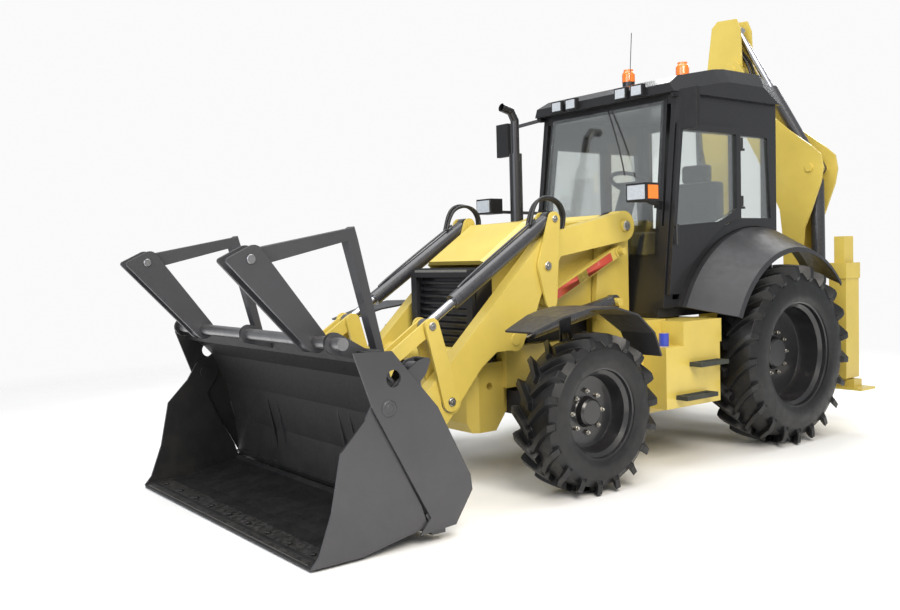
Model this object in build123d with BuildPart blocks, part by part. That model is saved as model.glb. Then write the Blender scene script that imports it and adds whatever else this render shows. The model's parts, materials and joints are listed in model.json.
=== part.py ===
"""Backhoe loader: front loader with a clam bucket and stowed forks, cab, and a sideshift hoe.

Millimetres, +X forward, +Y to the machine's left, +Z up, ground at z = 0.
Positions along the machine are measured forward from the rear axle.
"""
from math import cos, radians, sin
import os

from build123d import *

# ---------------------------------------------------------------- shared sizes
rear_axle_x = -1650            # the rear axle, from the middle of the overall length
wheelbase = 2200
fit = 0.5                      # radial play of a pin or rod in its bore
pin_side_gap = 5               # side play between a lug and what moves beside it

# wheels: radius, half width, middle plane, rim radius, disc offset, cap radius, cap height
front_tyre_r, front_half_w, front_track_y, front_rim_r = 510, 167, 962, 289
front_disc_y, front_cap_r, front_cap_h = -20, 95, 70
rear_tyre_r, rear_half_w, rear_track_y, rear_rim_r = 695, 215, 905, 405
rear_disc_y, rear_cap_r, rear_cap_h = -60, 125, 60
kingpin_y = 700

# chassis
rail_in, rail_out, rail_low, rail_top = 270, 370, 620, 900
rail_back, rail_front = -720, wheelbase + 150
tower_in, tower_out = 355, 400
TIE_DOWN, tie_bore_r, tie_depth = (2470, 640), 26, 60
REAR_TIE, rear_tie_r, rear_tie_y, rear_tie_t = (-731, 425), 20, 640, 20

# loader pivots (x, z)
ARM, LEVEL, CRANK, LEVEL_END = (1312, 1707), (1339, 1525), (2102, 1437), (2070, 1197)
TILT_BASE, TILT_EYE, LEVER = (2028, 1754), (3080, 1093), (2945, 612)
LIFT_EYE, LIFT_BASE, BUCKET, LINK_END = (2383, 960), (1391, 1158), (3400, 330), (3540, 610)
arm_in, arm_out = 410, 510
CROSS_TUBE = (2755, 865)       # joins the two arms, clear of the opening bonnet
plate_t = 18
eye_in, eye_out = 432, 488
cyl_y = (eye_in + eye_out) / 2
pin_end = 537                  # how far any loader pin reaches from the middle

# bucket (x, z)
bucket_half = 1181
side_t = 12
clam_out = bucket_half - side_t - pin_side_gap
clam_t = 14
CLAM = (3845, 753)
clam_lever_r, clam_lever_deg = 280, 140
CLAM_EYE = (CLAM[0] + clam_lever_r * cos(radians(clam_lever_deg)),
            CLAM[1] + clam_lever_r * sin(radians(clam_lever_deg)))
CLAM_BASE = (3430, 160)
clam_cyl_y, clam_eye_half = 1100, 35

# forks (x, z)
FORK, TINE = (4100, 1100), (4450, 1530)
shaft_r = 32
left_fork_y, right_fork_y = 860, -580
tine_half = 35

# cab
cab_y, cab_wall = 700, 45
cab_low_y = 655
floor_low, floor_top = 1030, 1075
roof_low, roof_top = 2670, 2900
cab_back = -310
HINGE = (200, 722)                # the door hinges' upright axis, x and y
BONNET = (1250, 1700)
bonnet_half, bonnet_t = 345, 12
front_low_x, front_low_z, front_top_x, front_top_z = 1120, 1100, 930, 2670
front_low_half, front_top_half = 655, 610
fender_r = 1000
wing_front, wing_rear = 24, 140     # degrees round the rear axle, from straight ahead

# rear frame and stabilizers
frame_front, frame_back = -720, -840
leg_x, leg_y, leg_wx, leg_wy = -900, 945, 140, 90
tube_wx, tube_wy = 200, 150
rails_half = leg_y - tube_wy / 2

# hoe: the folded arm lies in the plane x = hoe_x, points are (y, z)
hoe_x = -1150
post_y, post_low, post_top = 600, 605, 925
BOOM, BOOM_BASE, KNEE = (380, 700), (570, 1100), (560, 2210)
DIPPER, DIPPER_EYE = (-220, 3180), (-230, 3560)
HOE_BASE, HOE_LEVER, HOE_EYE = (-690, 3050), (-385, 1800), (-657, 1673)
HOE_BUCKET, HOE_LINK = (-400, 1500), (-500, 1327)
boom_in, boom_out = 105, 125
dip_in, dip_out = 75, 95
hoe_pin_end = 138
hoe_bucket_half = 142


# ---------------------------------------------------------------- helpers
def side(y):
    """Upright plane facing the machine's left side: x forward, z up, extrudes inward (-Y)."""
    return Plane(origin=(rear_axle_x, y, 0), x_dir=(1, 0, 0), z_dir=(0, -1, 0))


def back(x):
    """Upright plane across the machine: local x is the machine's left, extrudes forward."""
    return Plane(origin=(rear_axle_x + x, 0, 0), x_dir=(0, 1, 0), z_dir=(1, 0, 0))


def flat(z):
    """Level plane: x forward, y left, extrudes up."""
    return Plane(origin=(rear_axle_x, 0, z), x_dir=(1, 0, 0), z_dir=(0, 0, 1))


def across(offset):
    """Plane of the folded hoe: local x is the machine's left, at hoe_x + offset."""
    return back(hoe_x + offset)


def outline(plane, points):
    """A closed polygon on the plane."""
    with BuildSketch(plane) as shape:
        with BuildLine():
            Polyline(*points, close=True)
        make_face()
    return shape.sketch


def slab(plane, points, thickness, mode=Mode.ADD):
    """A plate cut to a polygon."""
    extrude(outline(plane, points), amount=thickness, mode=mode)


def block(x, y, z, mode=Mode.ADD):
    """A box between pairs of limits."""
    slab(flat(z[0]), [(x[0], y[0]), (x[1], y[0]), (x[1], y[1]), (x[0], y[1])], z[1] - z[0], mode)


def disc(plane, centre, radius, thickness, mode=Mode.ADD):
    """A round pin, boss or bore whose axis is the plane's normal."""
    with BuildSketch(plane) as shape:
        with Locations(centre):
            Circle(radius)
    extrude(shape.sketch, amount=thickness, mode=mode)


def hull(plane, circles, thickness, mode=Mode.ADD):
    """A link plate that wraps round circles (centre, radius)."""
    with BuildSketch(plane) as shape:
        for centre, radius in circles:
            with Locations(centre):
                Circle(radius)
        make_hull()
    extrude(shape.sketch, amount=thickness, mode=mode)




def sheet_points(points, thickness):
    """The points moved sideways by the sheet's thickness, mitred at the bends."""
    moved = []
    last = len(points) - 1
    for i, (a, b) in enumerate(points):
        before = points[max(i - 1, 0)]
        after = points[min(i + 1, last)]
        n1 = normal(before, (a, b)) if i > 0 else normal((a, b), after)
        n2 = normal((a, b), after) if i < last else n1
        mx, mz = n1[0] + n2[0], n1[1] + n2[1]
        scale = 2 / (mx * mx + mz * mz)
        moved.append((a + mx * scale * thickness, b + mz * scale * thickness))
    return moved


def normal(p, q):
    """Unit normal to the left of the way from p to q."""
    run, rise = q[0] - p[0], q[1] - p[1]
    length = (run * run + rise * rise) ** 0.5
    return -rise / length, run / length


def distance(p, q):
    """Distance between two points."""
    return ((q[0] - p[0]) ** 2 + (q[1] - p[1]) ** 2) ** 0.5


def toward(p, q, length):
    """The point that lies the length from p on the way to q."""
    share = length / distance(p, q)
    return p[0] + (q[0] - p[0]) * share, p[1] + (q[1] - p[1]) * share


def side_axis(p, q, y):
    """Plane at p that looks along the way to q, for a cylinder beside the machine."""
    return Plane(origin=(rear_axle_x + p[0], y, p[1]), z_dir=(q[0] - p[0], 0, q[1] - p[1]),
                 x_dir=(0, 1, 0))


def hoe_axis(p, q, offset=0):
    """Plane at p that looks along the way to q, for a cylinder of the hoe."""
    return Plane(origin=(rear_axle_x + hoe_x + offset, p[0], p[1]),
                 z_dir=(0, q[0] - p[0], q[1] - p[1]), x_dir=(1, 0, 0))


def tube(plane, outer, start, length, inner=0):
    """A round bar or tube along the plane's normal."""
    with BuildSketch(plane.offset(start)) as shape:
        Circle(outer)
        if inner:
            Circle(inner, mode=Mode.SUBTRACT)
    extrude(shape.sketch, amount=length)


def beam(p, q, wide, deep):
    """A square-ended bar between two space points, each (x, y, z)."""
    start = Vector(rear_axle_x + p[0], p[1], p[2])
    way = Vector(q[0] - p[0], q[1] - p[1], q[2] - p[2])
    sideways = (0, 1, 0) if abs(way.X) + abs(way.Z) > abs(way.Y) else (1, 0, 0)
    with BuildSketch(Plane(origin=start, z_dir=way, x_dir=sideways)) as shape:
        Rectangle(wide, deep)
    extrude(shape.sketch, amount=way.length)


def save(part, label):
    """Name the part and write it."""
    part.label = label
    export_step(part, f"parts/{label}.step")


os.makedirs("parts", exist_ok=True)


# ---------------------------------------------------------------- chassis
with BuildPart() as chassis:
    # side rails, raised over the rear axle
    slab(side(rail_out), [(rail_back, rail_low), (-130, rail_low), (-130, 800), (130, 800),
                          (130, rail_low), (rail_front, rail_low), (rail_front, rail_top),
                          (rail_back, rail_top)], rail_out - rail_in)
    mirror(about=Plane.XZ)
    # cross members that join the rails and carry the engine
    for x0, x1 in ((-600, -500), (450, 550), (1500, 1600), (1900, 2000)):
        block((x0, x1), (-rail_in, rail_in), (rail_low, 700))
    # front axle saddle and nose casting
    for x in (wheelbase - 150, wheelbase + 70):
        block((x, x + 80), (-rail_in, rail_in), (440, 760))
    slab(side(330), [(2340, 440), (2420, 335), (2600, 335), (2625, 400), (2625, 800), (2340, 800)],
         660)
    # cab mounts on the rails
    for x in (-250, 900):
        for y in (-320, 320):
            disc(flat(rail_top), (x, y), 48, floor_low - rail_top)
    # tie-down bores in the nose's sides
    for y in (330, -330 + tie_depth):
        disc(side(y), TIE_DOWN, tie_bore_r, tie_depth, Mode.SUBTRACT)
    chamfer(chassis.edges().filter_by(Axis.Z).filter_by_position(Axis.X, rear_axle_x + 2590,
                                                                rear_axle_x + 2630), length=60)
save(chassis.part, "chassis")

# ---------------------------------------------------------------- loader tower
with BuildPart() as loader_tower:
    # plates bolted outside the rails, with the loader's pins on their outer faces
    slab(side(tower_out), [(1220, 640), (1220, 1600), (1240, 1790), (1385, 1790), (1465, 1600),
                           (1500, 1200), (1500, 640)], tower_out - tower_in)
    block((1150, 1230), (tower_in, tower_out), (rail_top, 1780))
    block((1200, 1510), (tower_in - 5, rail_out), (630, rail_top), Mode.SUBTRACT)
    for pivot, radius in ((ARM, 40), (LEVEL, 25), (LIFT_BASE, 30)):
        disc(side(pin_end), pivot, radius, pin_end - tower_out + 10)
    mirror(about=Plane.XZ)
    # bulkhead in front of the cab with the bonnet's hinge ears
    block((1150, 1190), (-tower_in, tower_in), (rail_top, 1780))
    for y in (-220, 220):
        with BuildSketch(side(y + 8)) as ear:
            with Locations((1230, 1700)):
                Rectangle(110, 60)
        extrude(ear.sketch, amount=16)
    for y in (228, -188):
        disc(side(y), BONNET, 12, 40)
save(loader_tower.part, "loader_tower")

# ---------------------------------------------------------------- engine
with BuildPart() as engine:
    block((1450, 2050), (-250, 250), (700, 1350))
save(engine.part, "engine")

# ---------------------------------------------------------------- grille
with BuildPart() as grille:
    slab(side(bonnet_half), [(2440, 806), (2615, 806), (2605, 1000), (2555, 1440), (2440, 1440)],
         2 * bonnet_half)
    slab(side(290), [(2575, 850), (2640, 850), (2580, 1400), (2528, 1400)], 580, Mode.SUBTRACT)
    for row in range(11):
        z = 880 + row * 46
        slab(side(292), [(2560, z), (2604 - row * 4, z - 12), (2604 - row * 4, z), (2560, z + 12)],
             584)
save(grille.part, "grille")

# ---------------------------------------------------------------- bonnet
with BuildPart() as bonnet:
    slab(side(bonnet_half), [(1300, 1050), (2440, 1050), (2440, 1440), (2490, 1485), (2100, 1745),
                             (1300, 1800)], 2 * bonnet_half)
    chamfer(bonnet.edges().filter_by(lambda e: e.center().Z > 1600 and abs(e.center().Y) > 300),
            length=60, length2=35)
    inner = bonnet_half - bonnet_t
    slab(side(inner), [(1280, 1000), (2600, 1000), (2600, 1430), (2455, 1430), (2462, 1472),
                       (2092, 1720), (1280, 1775)], 2 * inner, Mode.SUBTRACT)
    for y in (-200, 200):
        slab(side(y + 8), [(1232, 1680), (1300, 1680), (1340, 1785), (1232, 1725)], 16)
        disc(side(y + 9), BONNET, 12 + fit, 18, Mode.SUBTRACT)
save(bonnet.part, "bonnet")

# ---------------------------------------------------------------- side boxes and steps
with BuildPart() as side_boxes:
    block((1160, 1500), (rail_out, 750), (370, floor_low))
    block((800, 1400), (rail_out, 950), (420, 850))
    block((780, 1210), (rail_out, 950), (850, 1020))
    block((1150, 1500), (rail_out, tower_out), (640, floor_low), Mode.SUBTRACT)
    for x0, x1, z in ((830, 1150, 700), (960, 1300, 480)):
        block((x0, x1), (940, 1050), (z, z + 30))
        block((x0 + 40, x1 - 40), (975, 1030), (z - 5, z + 35), Mode.SUBTRACT)
    # filler cap in the notch ahead of the upper box
    disc(flat(850), (1300, 850), 35, 90)
    mirror(about=Plane.XZ)
save(side_boxes.part, "side_boxes")

# ---------------------------------------------------------------- axles and knuckles
with BuildPart() as front_axle:
    block((wheelbase - 70, wheelbase + 70), (-600, 600), (430, 590))
    for y in (1, -1):
        block((wheelbase - 80, wheelbase + 80), sorted((y * 560, y * 610)), (370, 650))
        for z in (370, 620):
            block((wheelbase - 70, wheelbase + 70), sorted((y * 560, y * kingpin_y)), (z, z + 30))
            disc(flat(z), (wheelbase, y * kingpin_y), 70, 30)
        for z in (399, 590):
            disc(flat(z), (wheelbase, y * kingpin_y), 20, 31)
save(front_axle.part, "front_axle")

with BuildPart() as rear_axle:
    block((-200, 200), (-250, 250), (490, 890))
    hub_face = rear_track_y + rear_disc_y - fit
    disc(side(hub_face), (0, rear_tyre_r), 100, 2 * hub_face)
    for y in (1, -1):
        block((-130, 130), sorted((y * rail_in, y * rail_out)), (600, 800))
        disc(side(hub_face if y > 0 else -hub_face + 40), (0, rear_tyre_r), 170, 40)
save(rear_axle.part, "rear_axle")

with BuildPart() as knuckle_left:
    disc(flat(405), (wheelbase, kingpin_y), 75, 210)
    hub_face = front_track_y + front_disc_y - fit
    disc(side(hub_face), (wheelbase, front_tyre_r), 95, hub_face - kingpin_y)
    for z in (404, 589):
        disc(flat(z), (wheelbase, kingpin_y), 20 + fit, 32, Mode.SUBTRACT)
    # mudguard on its post, which stands on the hub
    hub_top = front_tyre_r + 40
    block((wheelbase - 50, wheelbase + 50), (780, 790), (hub_top, 1172))
    crown = [(wheelbase - 520, 830), (wheelbase - 455, 985), (wheelbase - 300, 1110),
             (wheelbase - 100, 1165), (wheelbase + 100, 1170), (wheelbase + 360, 1130),
             (wheelbase + 610, 1055)]
    slab(side(1140), crown + list(reversed(sheet_points(crown, 12))), 360)
    for way, near in ((-1, -210), (1, 210)):
        ends = [(wheelbase + way * 630, 770), (wheelbase + way * 630, 905), (wheelbase + near, 770)]
        slab(flat(700), ends, 600, Mode.SUBTRACT)
save(knuckle_left.part, "knuckle_left")

with BuildPart() as knuckle_right:
    add(mirror(knuckle_left.part, about=Plane.XZ))
save(knuckle_right.part, "knuckle_right")


# ---------------------------------------------------------------- wheels
def wheel_section(radius, half, rim, disc_y, cap_r, cap_h):
    """Half section of a wheel with its tyre, as (across, outward from the axle)."""
    return [(disc_y, 0), (disc_y, rim - 58), (-0.8 * half, rim - 46), (-0.88 * half, rim + 4),
            (-half, 0.66 * radius), (-0.98 * half, 0.86 * radius), (-0.8 * half, 0.985 * radius),
            (-0.35 * half, radius), (0.35 * half, radius), (0.8 * half, 0.985 * radius),
            (0.98 * half, 0.86 * radius), (half, 0.66 * radius), (0.88 * half, rim + 4),
            (0.8 * half, rim - 10), (0.55 * half, rim - 40), (disc_y + 14, rim - 46),
            (disc_y + 14, cap_r), (disc_y + cap_h, cap_r - 8), (disc_y + cap_h, 0)]


def wheel(axle_x, radius, half, track_y, rim, disc_y, cap_r, cap_h):
    """A wheel turned about its axle."""
    section_plane = Plane(origin=(rear_axle_x + axle_x, track_y, radius), x_dir=(0, 1, 0),
                          z_dir=(1, 0, 0))
    section = outline(section_plane, wheel_section(radius, half, rim, disc_y, cap_r, cap_h))
    revolve(section, axis=Axis((rear_axle_x + axle_x, 0, radius), (0, 1, 0)))


with BuildPart() as wheel_front_left:
    wheel(wheelbase, front_tyre_r, front_half_w, front_track_y, front_rim_r, front_disc_y,
          front_cap_r, front_cap_h)
save(wheel_front_left.part, "wheel_front_left")

with BuildPart() as wheel_rear_left:
    wheel(0, rear_tyre_r, rear_half_w, rear_track_y, rear_rim_r, rear_disc_y, rear_cap_r,
          rear_cap_h)
save(wheel_rear_left.part, "wheel_rear_left")

with BuildPart() as wheel_front_right:
    add(mirror(wheel_front_left.part, about=Plane.XZ))
save(wheel_front_right.part, "wheel_front_right")

with BuildPart() as wheel_rear_right:
    add(mirror(wheel_rear_left.part, about=Plane.XZ))
save(wheel_rear_right.part, "wheel_rear_right")

# ---------------------------------------------------------------- loader arms
arm_mid = (arm_in + arm_out) / 2
lever_hub_r, bucket_hub_r, link_hub_r = 66, 60, 80
hub_len = arm_out - arm_in + 2 * (pin_side_gap - 1)
link_pin_r = 26
link_out, link_in = arm_out - 2, 430       # outer faces of the two link plates
with BuildPart() as loader_arms:
    slab(side(arm_out), [(1300, 1815), (1850, 1700), (2060, 1660), (2140, 1600), (2960, 825),
                         (3470, 400), (3345, 236), (3250, 240), (2960, 486), (2680, 800),
                         (2550, 890), (2430, 890), (2330, 905), (2200, 1120), (2120, 1300),
                         (1950, 1500), (1312, 1597)], arm_out - arm_in)
    disc(side(arm_out), ARM, 110, arm_out - arm_in)
    disc(side(arm_out), LIFT_EYE, 78, arm_out - arm_in)
    disc(side(arm_out), BUCKET, 98, arm_out - arm_in)
    disc(side(arm_out), LEVER, lever_hub_r + 22, arm_out - arm_in)
    # slot for the lift rod's eye, open to the rear
    slab(side(eye_out + 5), [(2462, 1045), (2300, 1065), (2120, 1110), (2120, 860), (2462, 870)],
         eye_out - eye_in + 10, Mode.SUBTRACT)
    # slot under the rear end, where the levelling link passes at full height
    slab(side(eye_out + 2), [(1190, 1655), (1400, 1655), (1400, 1560), (1190, 1560)],
         eye_out - eye_in + 4, Mode.SUBTRACT)
    # the crank's pin, and bores for the tower's pin and the two pins with bodies of their own
    disc(side(pin_end), CRANK, 35, pin_end - 383)
    for pivot, radius in ((ARM, 40 + fit), (LEVER, lever_hub_r + fit), (BUCKET, bucket_hub_r + fit)):
        disc(side(pin_end), pivot, radius, pin_end - arm_in + 20, Mode.SUBTRACT)
    # round heads over the open end of the lift rod
    disc(side(arm_out + 6), LIFT_EYE, 40, 6)
    mirror(about=Plane.XZ)
    disc(side(arm_in), CROSS_TUBE, 60, 2 * arm_in)
save(loader_arms.part, "loader_arms")

with BuildPart() as lever_pins:
    disc(side(pin_end), LEVER, 28, pin_end - 383)
    disc(side(arm_mid + hub_len / 2), LEVER, lever_hub_r, hub_len)
    mirror(about=Plane.XZ)
save(lever_pins.part, "lever_pins")

with BuildPart() as bucket_pins:
    disc(side(pin_end), BUCKET, 30, pin_end - 383)
    disc(side(arm_mid + hub_len / 2), BUCKET, bucket_hub_r, hub_len)
    mirror(about=Plane.XZ)
save(bucket_pins.part, "bucket_pins")

# pins that carry the links on the bucket's lugs, with a hub between the link plates
with BuildPart() as link_pins:
    disc(side(pin_end), LINK_END, link_pin_r, pin_end - 383)
    disc(side(link_out - plate_t - 1), LINK_END, link_hub_r, link_out - plate_t - link_in - 2)
    mirror(about=Plane.XZ)
save(link_pins.part, "link_pins")

lift_rod_r, lift_barrel_r, lift_barrel_len = 30, 52, 830
with BuildPart() as lift_barrels:
    axis = side_axis(LIFT_BASE, LIFT_EYE, cyl_y)
    tube(axis, lift_barrel_r, 30, lift_barrel_len - 30)
    disc(side(eye_out), LIFT_BASE, 52, eye_out - eye_in)
    with BuildSketch(axis.offset(75)) as bore:
        Circle(lift_rod_r + fit)
    extrude(bore.sketch, amount=lift_barrel_len, mode=Mode.SUBTRACT)
    disc(side(pin_end), LIFT_BASE, 30 + fit, 200, Mode.SUBTRACT)
    mirror(about=Plane.XZ)
save(lift_barrels.part, "lift_barrels")

with BuildPart() as lift_rods:
    axis = side_axis(LIFT_BASE, LIFT_EYE, cyl_y)
    tube(axis, lift_rod_r, 110, distance(LIFT_BASE, LIFT_EYE) - 110)
    disc(side(eye_out), LIFT_EYE, 50, eye_out - eye_in)
    mirror(about=Plane.XZ)
save(lift_rods.part, "lift_rods")

# ---------------------------------------------------------------- self-levelling linkage
crank_faces = ((arm_out + pin_side_gap + plate_t, plate_t), (arm_in - pin_side_gap, plate_t))
with BuildPart() as bellcranks:
    for outer, thick in crank_faces:
        hull(side(outer), [(TILT_BASE, 50), (CRANK, 85), (LEVEL_END, 50)], thick)
        disc(side(outer + 1), CRANK, 35 + fit, thick + 2, Mode.SUBTRACT)
        disc(side(outer + 1), TILT_BASE, 25, thick + 2)
    disc(side(533), TILT_BASE, 25, 533 - 387)
    mirror(about=Plane.XZ)
save(bellcranks.part, "bellcranks")

with BuildPart() as leveling_links:
    with BuildSketch(side(eye_out - 8)) as bar:
        for centre in (LEVEL, LEVEL_END):
            with Locations(centre):
                Circle(40)
        make_hull()
    extrude(bar.sketch, amount=40)
    disc(side(eye_out), LEVEL, 42, eye_out - eye_in)
    disc(side(eye_out), LEVEL_END, 42, eye_out - eye_in)
    disc(side(pin_end), LEVEL, 25 + fit, 200, Mode.SUBTRACT)
    mirror(about=Plane.XZ)
save(leveling_links.part, "leveling_links")

tilt_rod_r, tilt_barrel_r, tilt_barrel_len = 30, 50, 985
with BuildPart() as tilt_barrels:
    axis = side_axis(TILT_BASE, TILT_EYE, cyl_y)
    tube(axis, tilt_barrel_r, 30, tilt_barrel_len - 30)
    disc(side(eye_out), TILT_BASE, 50, eye_out - eye_in)
    with BuildSketch(axis.offset(75)) as bore:
        Circle(tilt_rod_r + fit)
    extrude(bore.sketch, amount=tilt_barrel_len, mode=Mode.SUBTRACT)
    disc(side(pin_end), TILT_BASE, 25 + fit, 200, Mode.SUBTRACT)
    mirror(about=Plane.XZ)
save(tilt_barrels.part, "tilt_barrels")

with BuildPart() as tilt_rods:
    axis = side_axis(TILT_BASE, TILT_EYE, cyl_y)
    tube(axis, tilt_rod_r, 270, distance(TILT_BASE, TILT_EYE) - 270)
    disc(side(eye_out - 2), TILT_EYE, 45, eye_out - eye_in - 4)
    mirror(about=Plane.XZ)
save(tilt_rods.part, "tilt_rods")

with BuildPart() as tilt_levers:
    for outer, thick in crank_faces:
        hull(side(outer), [(LEVER, 62), (TILT_EYE, 52)], thick)
        disc(side(outer + 1), LEVER, 28 + fit, thick + 2, Mode.SUBTRACT)
    mirror(about=Plane.XZ)
save(tilt_levers.part, "tilt_levers")

# each link is cranked, to pass over the arm's nose at full height with the bucket emptied
link_crank = 85
link_normal = normal(TILT_EYE, LINK_END)
link_mid = ((TILT_EYE[0] + LINK_END[0]) / 2 + link_crank * link_normal[0],
            (TILT_EYE[1] + LINK_END[1]) / 2 + link_crank * link_normal[1])
with BuildPart() as bucket_links:
    for outer in (link_out, link_in):
        for end in (TILT_EYE, LINK_END):
            hull(side(outer), [(end, 45), (link_mid, 42)], plate_t)
        disc(side(outer + 1), LINK_END, link_pin_r + fit, plate_t + 2, Mode.SUBTRACT)
    disc(side(link_out - plate_t), link_mid, 30, link_out - plate_t - link_in)
    mirror(about=Plane.XZ)
save(bucket_links.part, "bucket_links")

# ---------------------------------------------------------------- front bucket
back_sheet = [(3612, 150), (3630, 400), (3700, 660), (3800, 880), (3950, 1045)]
full_half = bucket_half - side_t
with BuildPart() as bucket:
    # fixed side plates
    for y in (bucket_half, -bucket_half + side_t):
        slab(side(y), [(4047, 1052), (3817, 1045), (3536, 726), (3327, 329), (3317, 247),
                       (3435, 76), (3671, 60), (3600, 141), (3937, 750)], side_t)
        disc(side(y + 1), (3812, 903), 45, side_t + 2, Mode.SUBTRACT)
    # back sheet, cut back beside the clam's levers
    slab(side(full_half), back_sheet + list(reversed(sheet_points(back_sheet, 16))),
         2 * full_half)
    for y in (full_half, -full_half + 24):
        slab(side(y), [(3500, 520), (3800, 520), (3900, 940), (3600, 940)], 24, Mode.SUBTRACT)
    # top rail and lower torque box
    slab(side(full_half), [(3850, 985), (3945, 985), (3975, 1052), (3860, 1052)], 2 * full_half)
    slab(side(full_half), [(3500, 45), (3590, 45), (3600, 115), (3628, 160), (3600, 175),
                           (3500, 115)], 2 * full_half)
    # hinge and link lugs
    for mid in (1, -1):
        for outer, thick in crank_faces:
            y = outer if mid > 0 else -outer + thick
            with BuildSketch(side(y)) as lug:
                for centre, radius in ((BUCKET, 82), (LINK_END, 62), ((3590, 180), 14),
                                       ((3695, 680), 8), ((3618, 400), 8)):
                    with Locations(centre):
                        Circle(radius)
                make_hull()
            extrude(lug.sketch, amount=thick)
            disc(side(y + 1), BUCKET, 30 + fit, thick + 2, Mode.SUBTRACT)
            disc(side(y + 1), LINK_END, link_pin_r + fit, thick + 2, Mode.SUBTRACT)
    # shaft ears and the fork shaft
    for y in (1085, 115, -890):
        hull(side(y + 12), [((3900, 1020), 25), ((3965, 1035), 12), (FORK, 55)], 24)
    disc(side(1175), FORK, shaft_r, 1175 + 950)
    # clam hinge stubs, and clam cylinder brackets with their pins
    for y in (1, -1):
        outer = bucket_half if y > 0 else -clam_out + clam_t + 5
        disc(side(outer), CLAM, 40, bucket_half - clam_out + clam_t + 5)
        mid_y = y * clam_cyl_y
        for outer in (mid_y + clam_eye_half + 20, mid_y - clam_eye_half - 8):
            hull(side(outer), [(CLAM_BASE, 45), ((3545, 85), 30)], 12)
        disc(side(mid_y + clam_eye_half + 20), CLAM_BASE, 20, 2 * clam_eye_half + 40)
save(bucket.part, "bucket")

with BuildPart() as clam:
    floor = [(4262, 34), (4020, 34), (3640, 104), (3612, 122)]
    for y in (clam_out, -clam_out + clam_t):
        slab(side(y), [(3937, 750), (4124, 562), (4186, 273), (4262, 74), (4311, 19), (4262, 18),
                       (4020, 18), (3640, 88), (3614, 112), (3650, 215), (3770, 440), (3850, 620)],
             clam_t)
        hull(side(y), [(CLAM, 90), ((3950, 640), 60), ((3900, 560), 30)], clam_t)
        hull(side(y), [(CLAM, 70), (CLAM_EYE, 45), (toward(CLAM_EYE, CLAM, -55), 20)], clam_t)
        disc(side(y + 1), CLAM, 40 + fit, clam_t + 2, Mode.SUBTRACT)
    # floor with its cutting edge
    slab(side(clam_out), [(4311, 19), (4262, 18), (4020, 18), (3640, 88), (3614, 106), (3618, 124),
                          (3646, 104), (4022, 34), (4262, 34)], 2 * clam_out)
    slab(side(clam_out - 20), [(4311, 18), (4311, 8), (4130, 8), (4130, 18)],
         2 * clam_out - 40)
    # clevis round each rod's eye
    for y in (1, -1):
        plates_from = y * (clam_cyl_y - clam_eye_half - 8)
        outer = plates_from if y > 0 else plates_from + 12
        hull(side(outer), [(CLAM_EYE, 45), (toward(CLAM_EYE, CLAM, -55), 20)], 12)
        wrap = toward(CLAM_EYE, CLAM, -66)
        disc(side(clam_out if y > 0 else plates_from), wrap, 14,
             clam_out - clam_cyl_y + clam_eye_half + 8)
save(clam.part, "clam")

clam_rod_r, clam_barrel_r, clam_barrel_len, clam_tail = 20, 38, 395, 375
with BuildPart() as clam_barrels:
    axis = side_axis(CLAM_BASE, CLAM_EYE, clam_cyl_y)
    tube(axis, clam_barrel_r, 20, clam_barrel_len - 20)
    disc(side(clam_cyl_y + clam_eye_half), CLAM_BASE, 42, 2 * clam_eye_half)
    with BuildSketch(axis.offset(45)) as bore:
        Circle(clam_rod_r + fit)
    extrude(bore.sketch, amount=clam_barrel_len, mode=Mode.SUBTRACT)
    disc(side(clam_cyl_y + 60), CLAM_BASE, 20 + fit, 120, Mode.SUBTRACT)
    mirror(about=Plane.XZ)
save(clam_barrels.part, "clam_barrels")

with BuildPart() as clam_rods:
    axis = side_axis(CLAM_BASE, CLAM_EYE, clam_cyl_y)
    rod_length = distance(CLAM_BASE, CLAM_EYE)
    tube(axis, clam_rod_r, clam_tail, rod_length - clam_tail)
    disc(side(clam_cyl_y + clam_eye_half), CLAM_EYE, 38, 2 * clam_eye_half)
    mirror(about=Plane.XZ)
save(clam_rods.part, "clam_rods")

# ---------------------------------------------------------------- forks
with BuildPart() as fork_hangers:
    for y in (left_fork_y, right_fork_y):
        for outer in (y + tine_half + 25, y - tine_half - 5):
            hull(side(outer), [(FORK, 60), ((4430, 1555), 45), ((4560, 1525), 16)], 20)
        disc(side(y + tine_half + 25), FORK, 52, 2 * tine_half + 50)
        disc(side(y + tine_half + 30), FORK, shaft_r + fit, 2 * tine_half + 60, Mode.SUBTRACT)
        disc(side(y + tine_half + 28), TINE, 22, 2 * tine_half + 56)
        disc(side(y + tine_half + 6), (4280, 1315), 25, 2 * tine_half + 12)
save(fork_hangers.part, "fork_hangers")

with BuildPart() as fork_tines:
    for y in (left_fork_y, right_fork_y):
        hull(side(y + tine_half), [(TINE, 45), ((3860, 1650), 30)], 2 * tine_half)
        slab(side(y + tine_half), [(3840, 1690), (3895, 1660), (3655, 770), (3620, 780),
                                   (3820, 1620)], 2 * tine_half)
        disc(side(y + tine_half + 1), TINE, 22 + fit, 2 * tine_half + 2, Mode.SUBTRACT)
save(fork_tines.part, "fork_tines")


# ---------------------------------------------------------------- cab
def front_x(z):
    """How far forward the windscreen's plane is at a height."""
    share = (z - front_low_z) / (front_top_z - front_low_z)
    return front_low_x + (front_top_x - front_low_x) * share


def arch(radius, first, last, steps):
    """Points of an arc round the rear axle, degrees from straight ahead."""
    points = []
    for i in range(steps + 1):
        turn = radians(first + (last - first) * i / steps)
        points.append((radius * cos(turn), rear_tyre_r + radius * sin(turn)))
    return points


screen = Plane(origin=(rear_axle_x + front_low_x, 0, front_low_z), x_dir=(0, 1, 0),
               z_dir=(front_top_z - front_low_z, 0, front_low_x - front_top_x))
screen_length = distance((front_low_x, front_low_z), (front_top_x, front_top_z))


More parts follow.
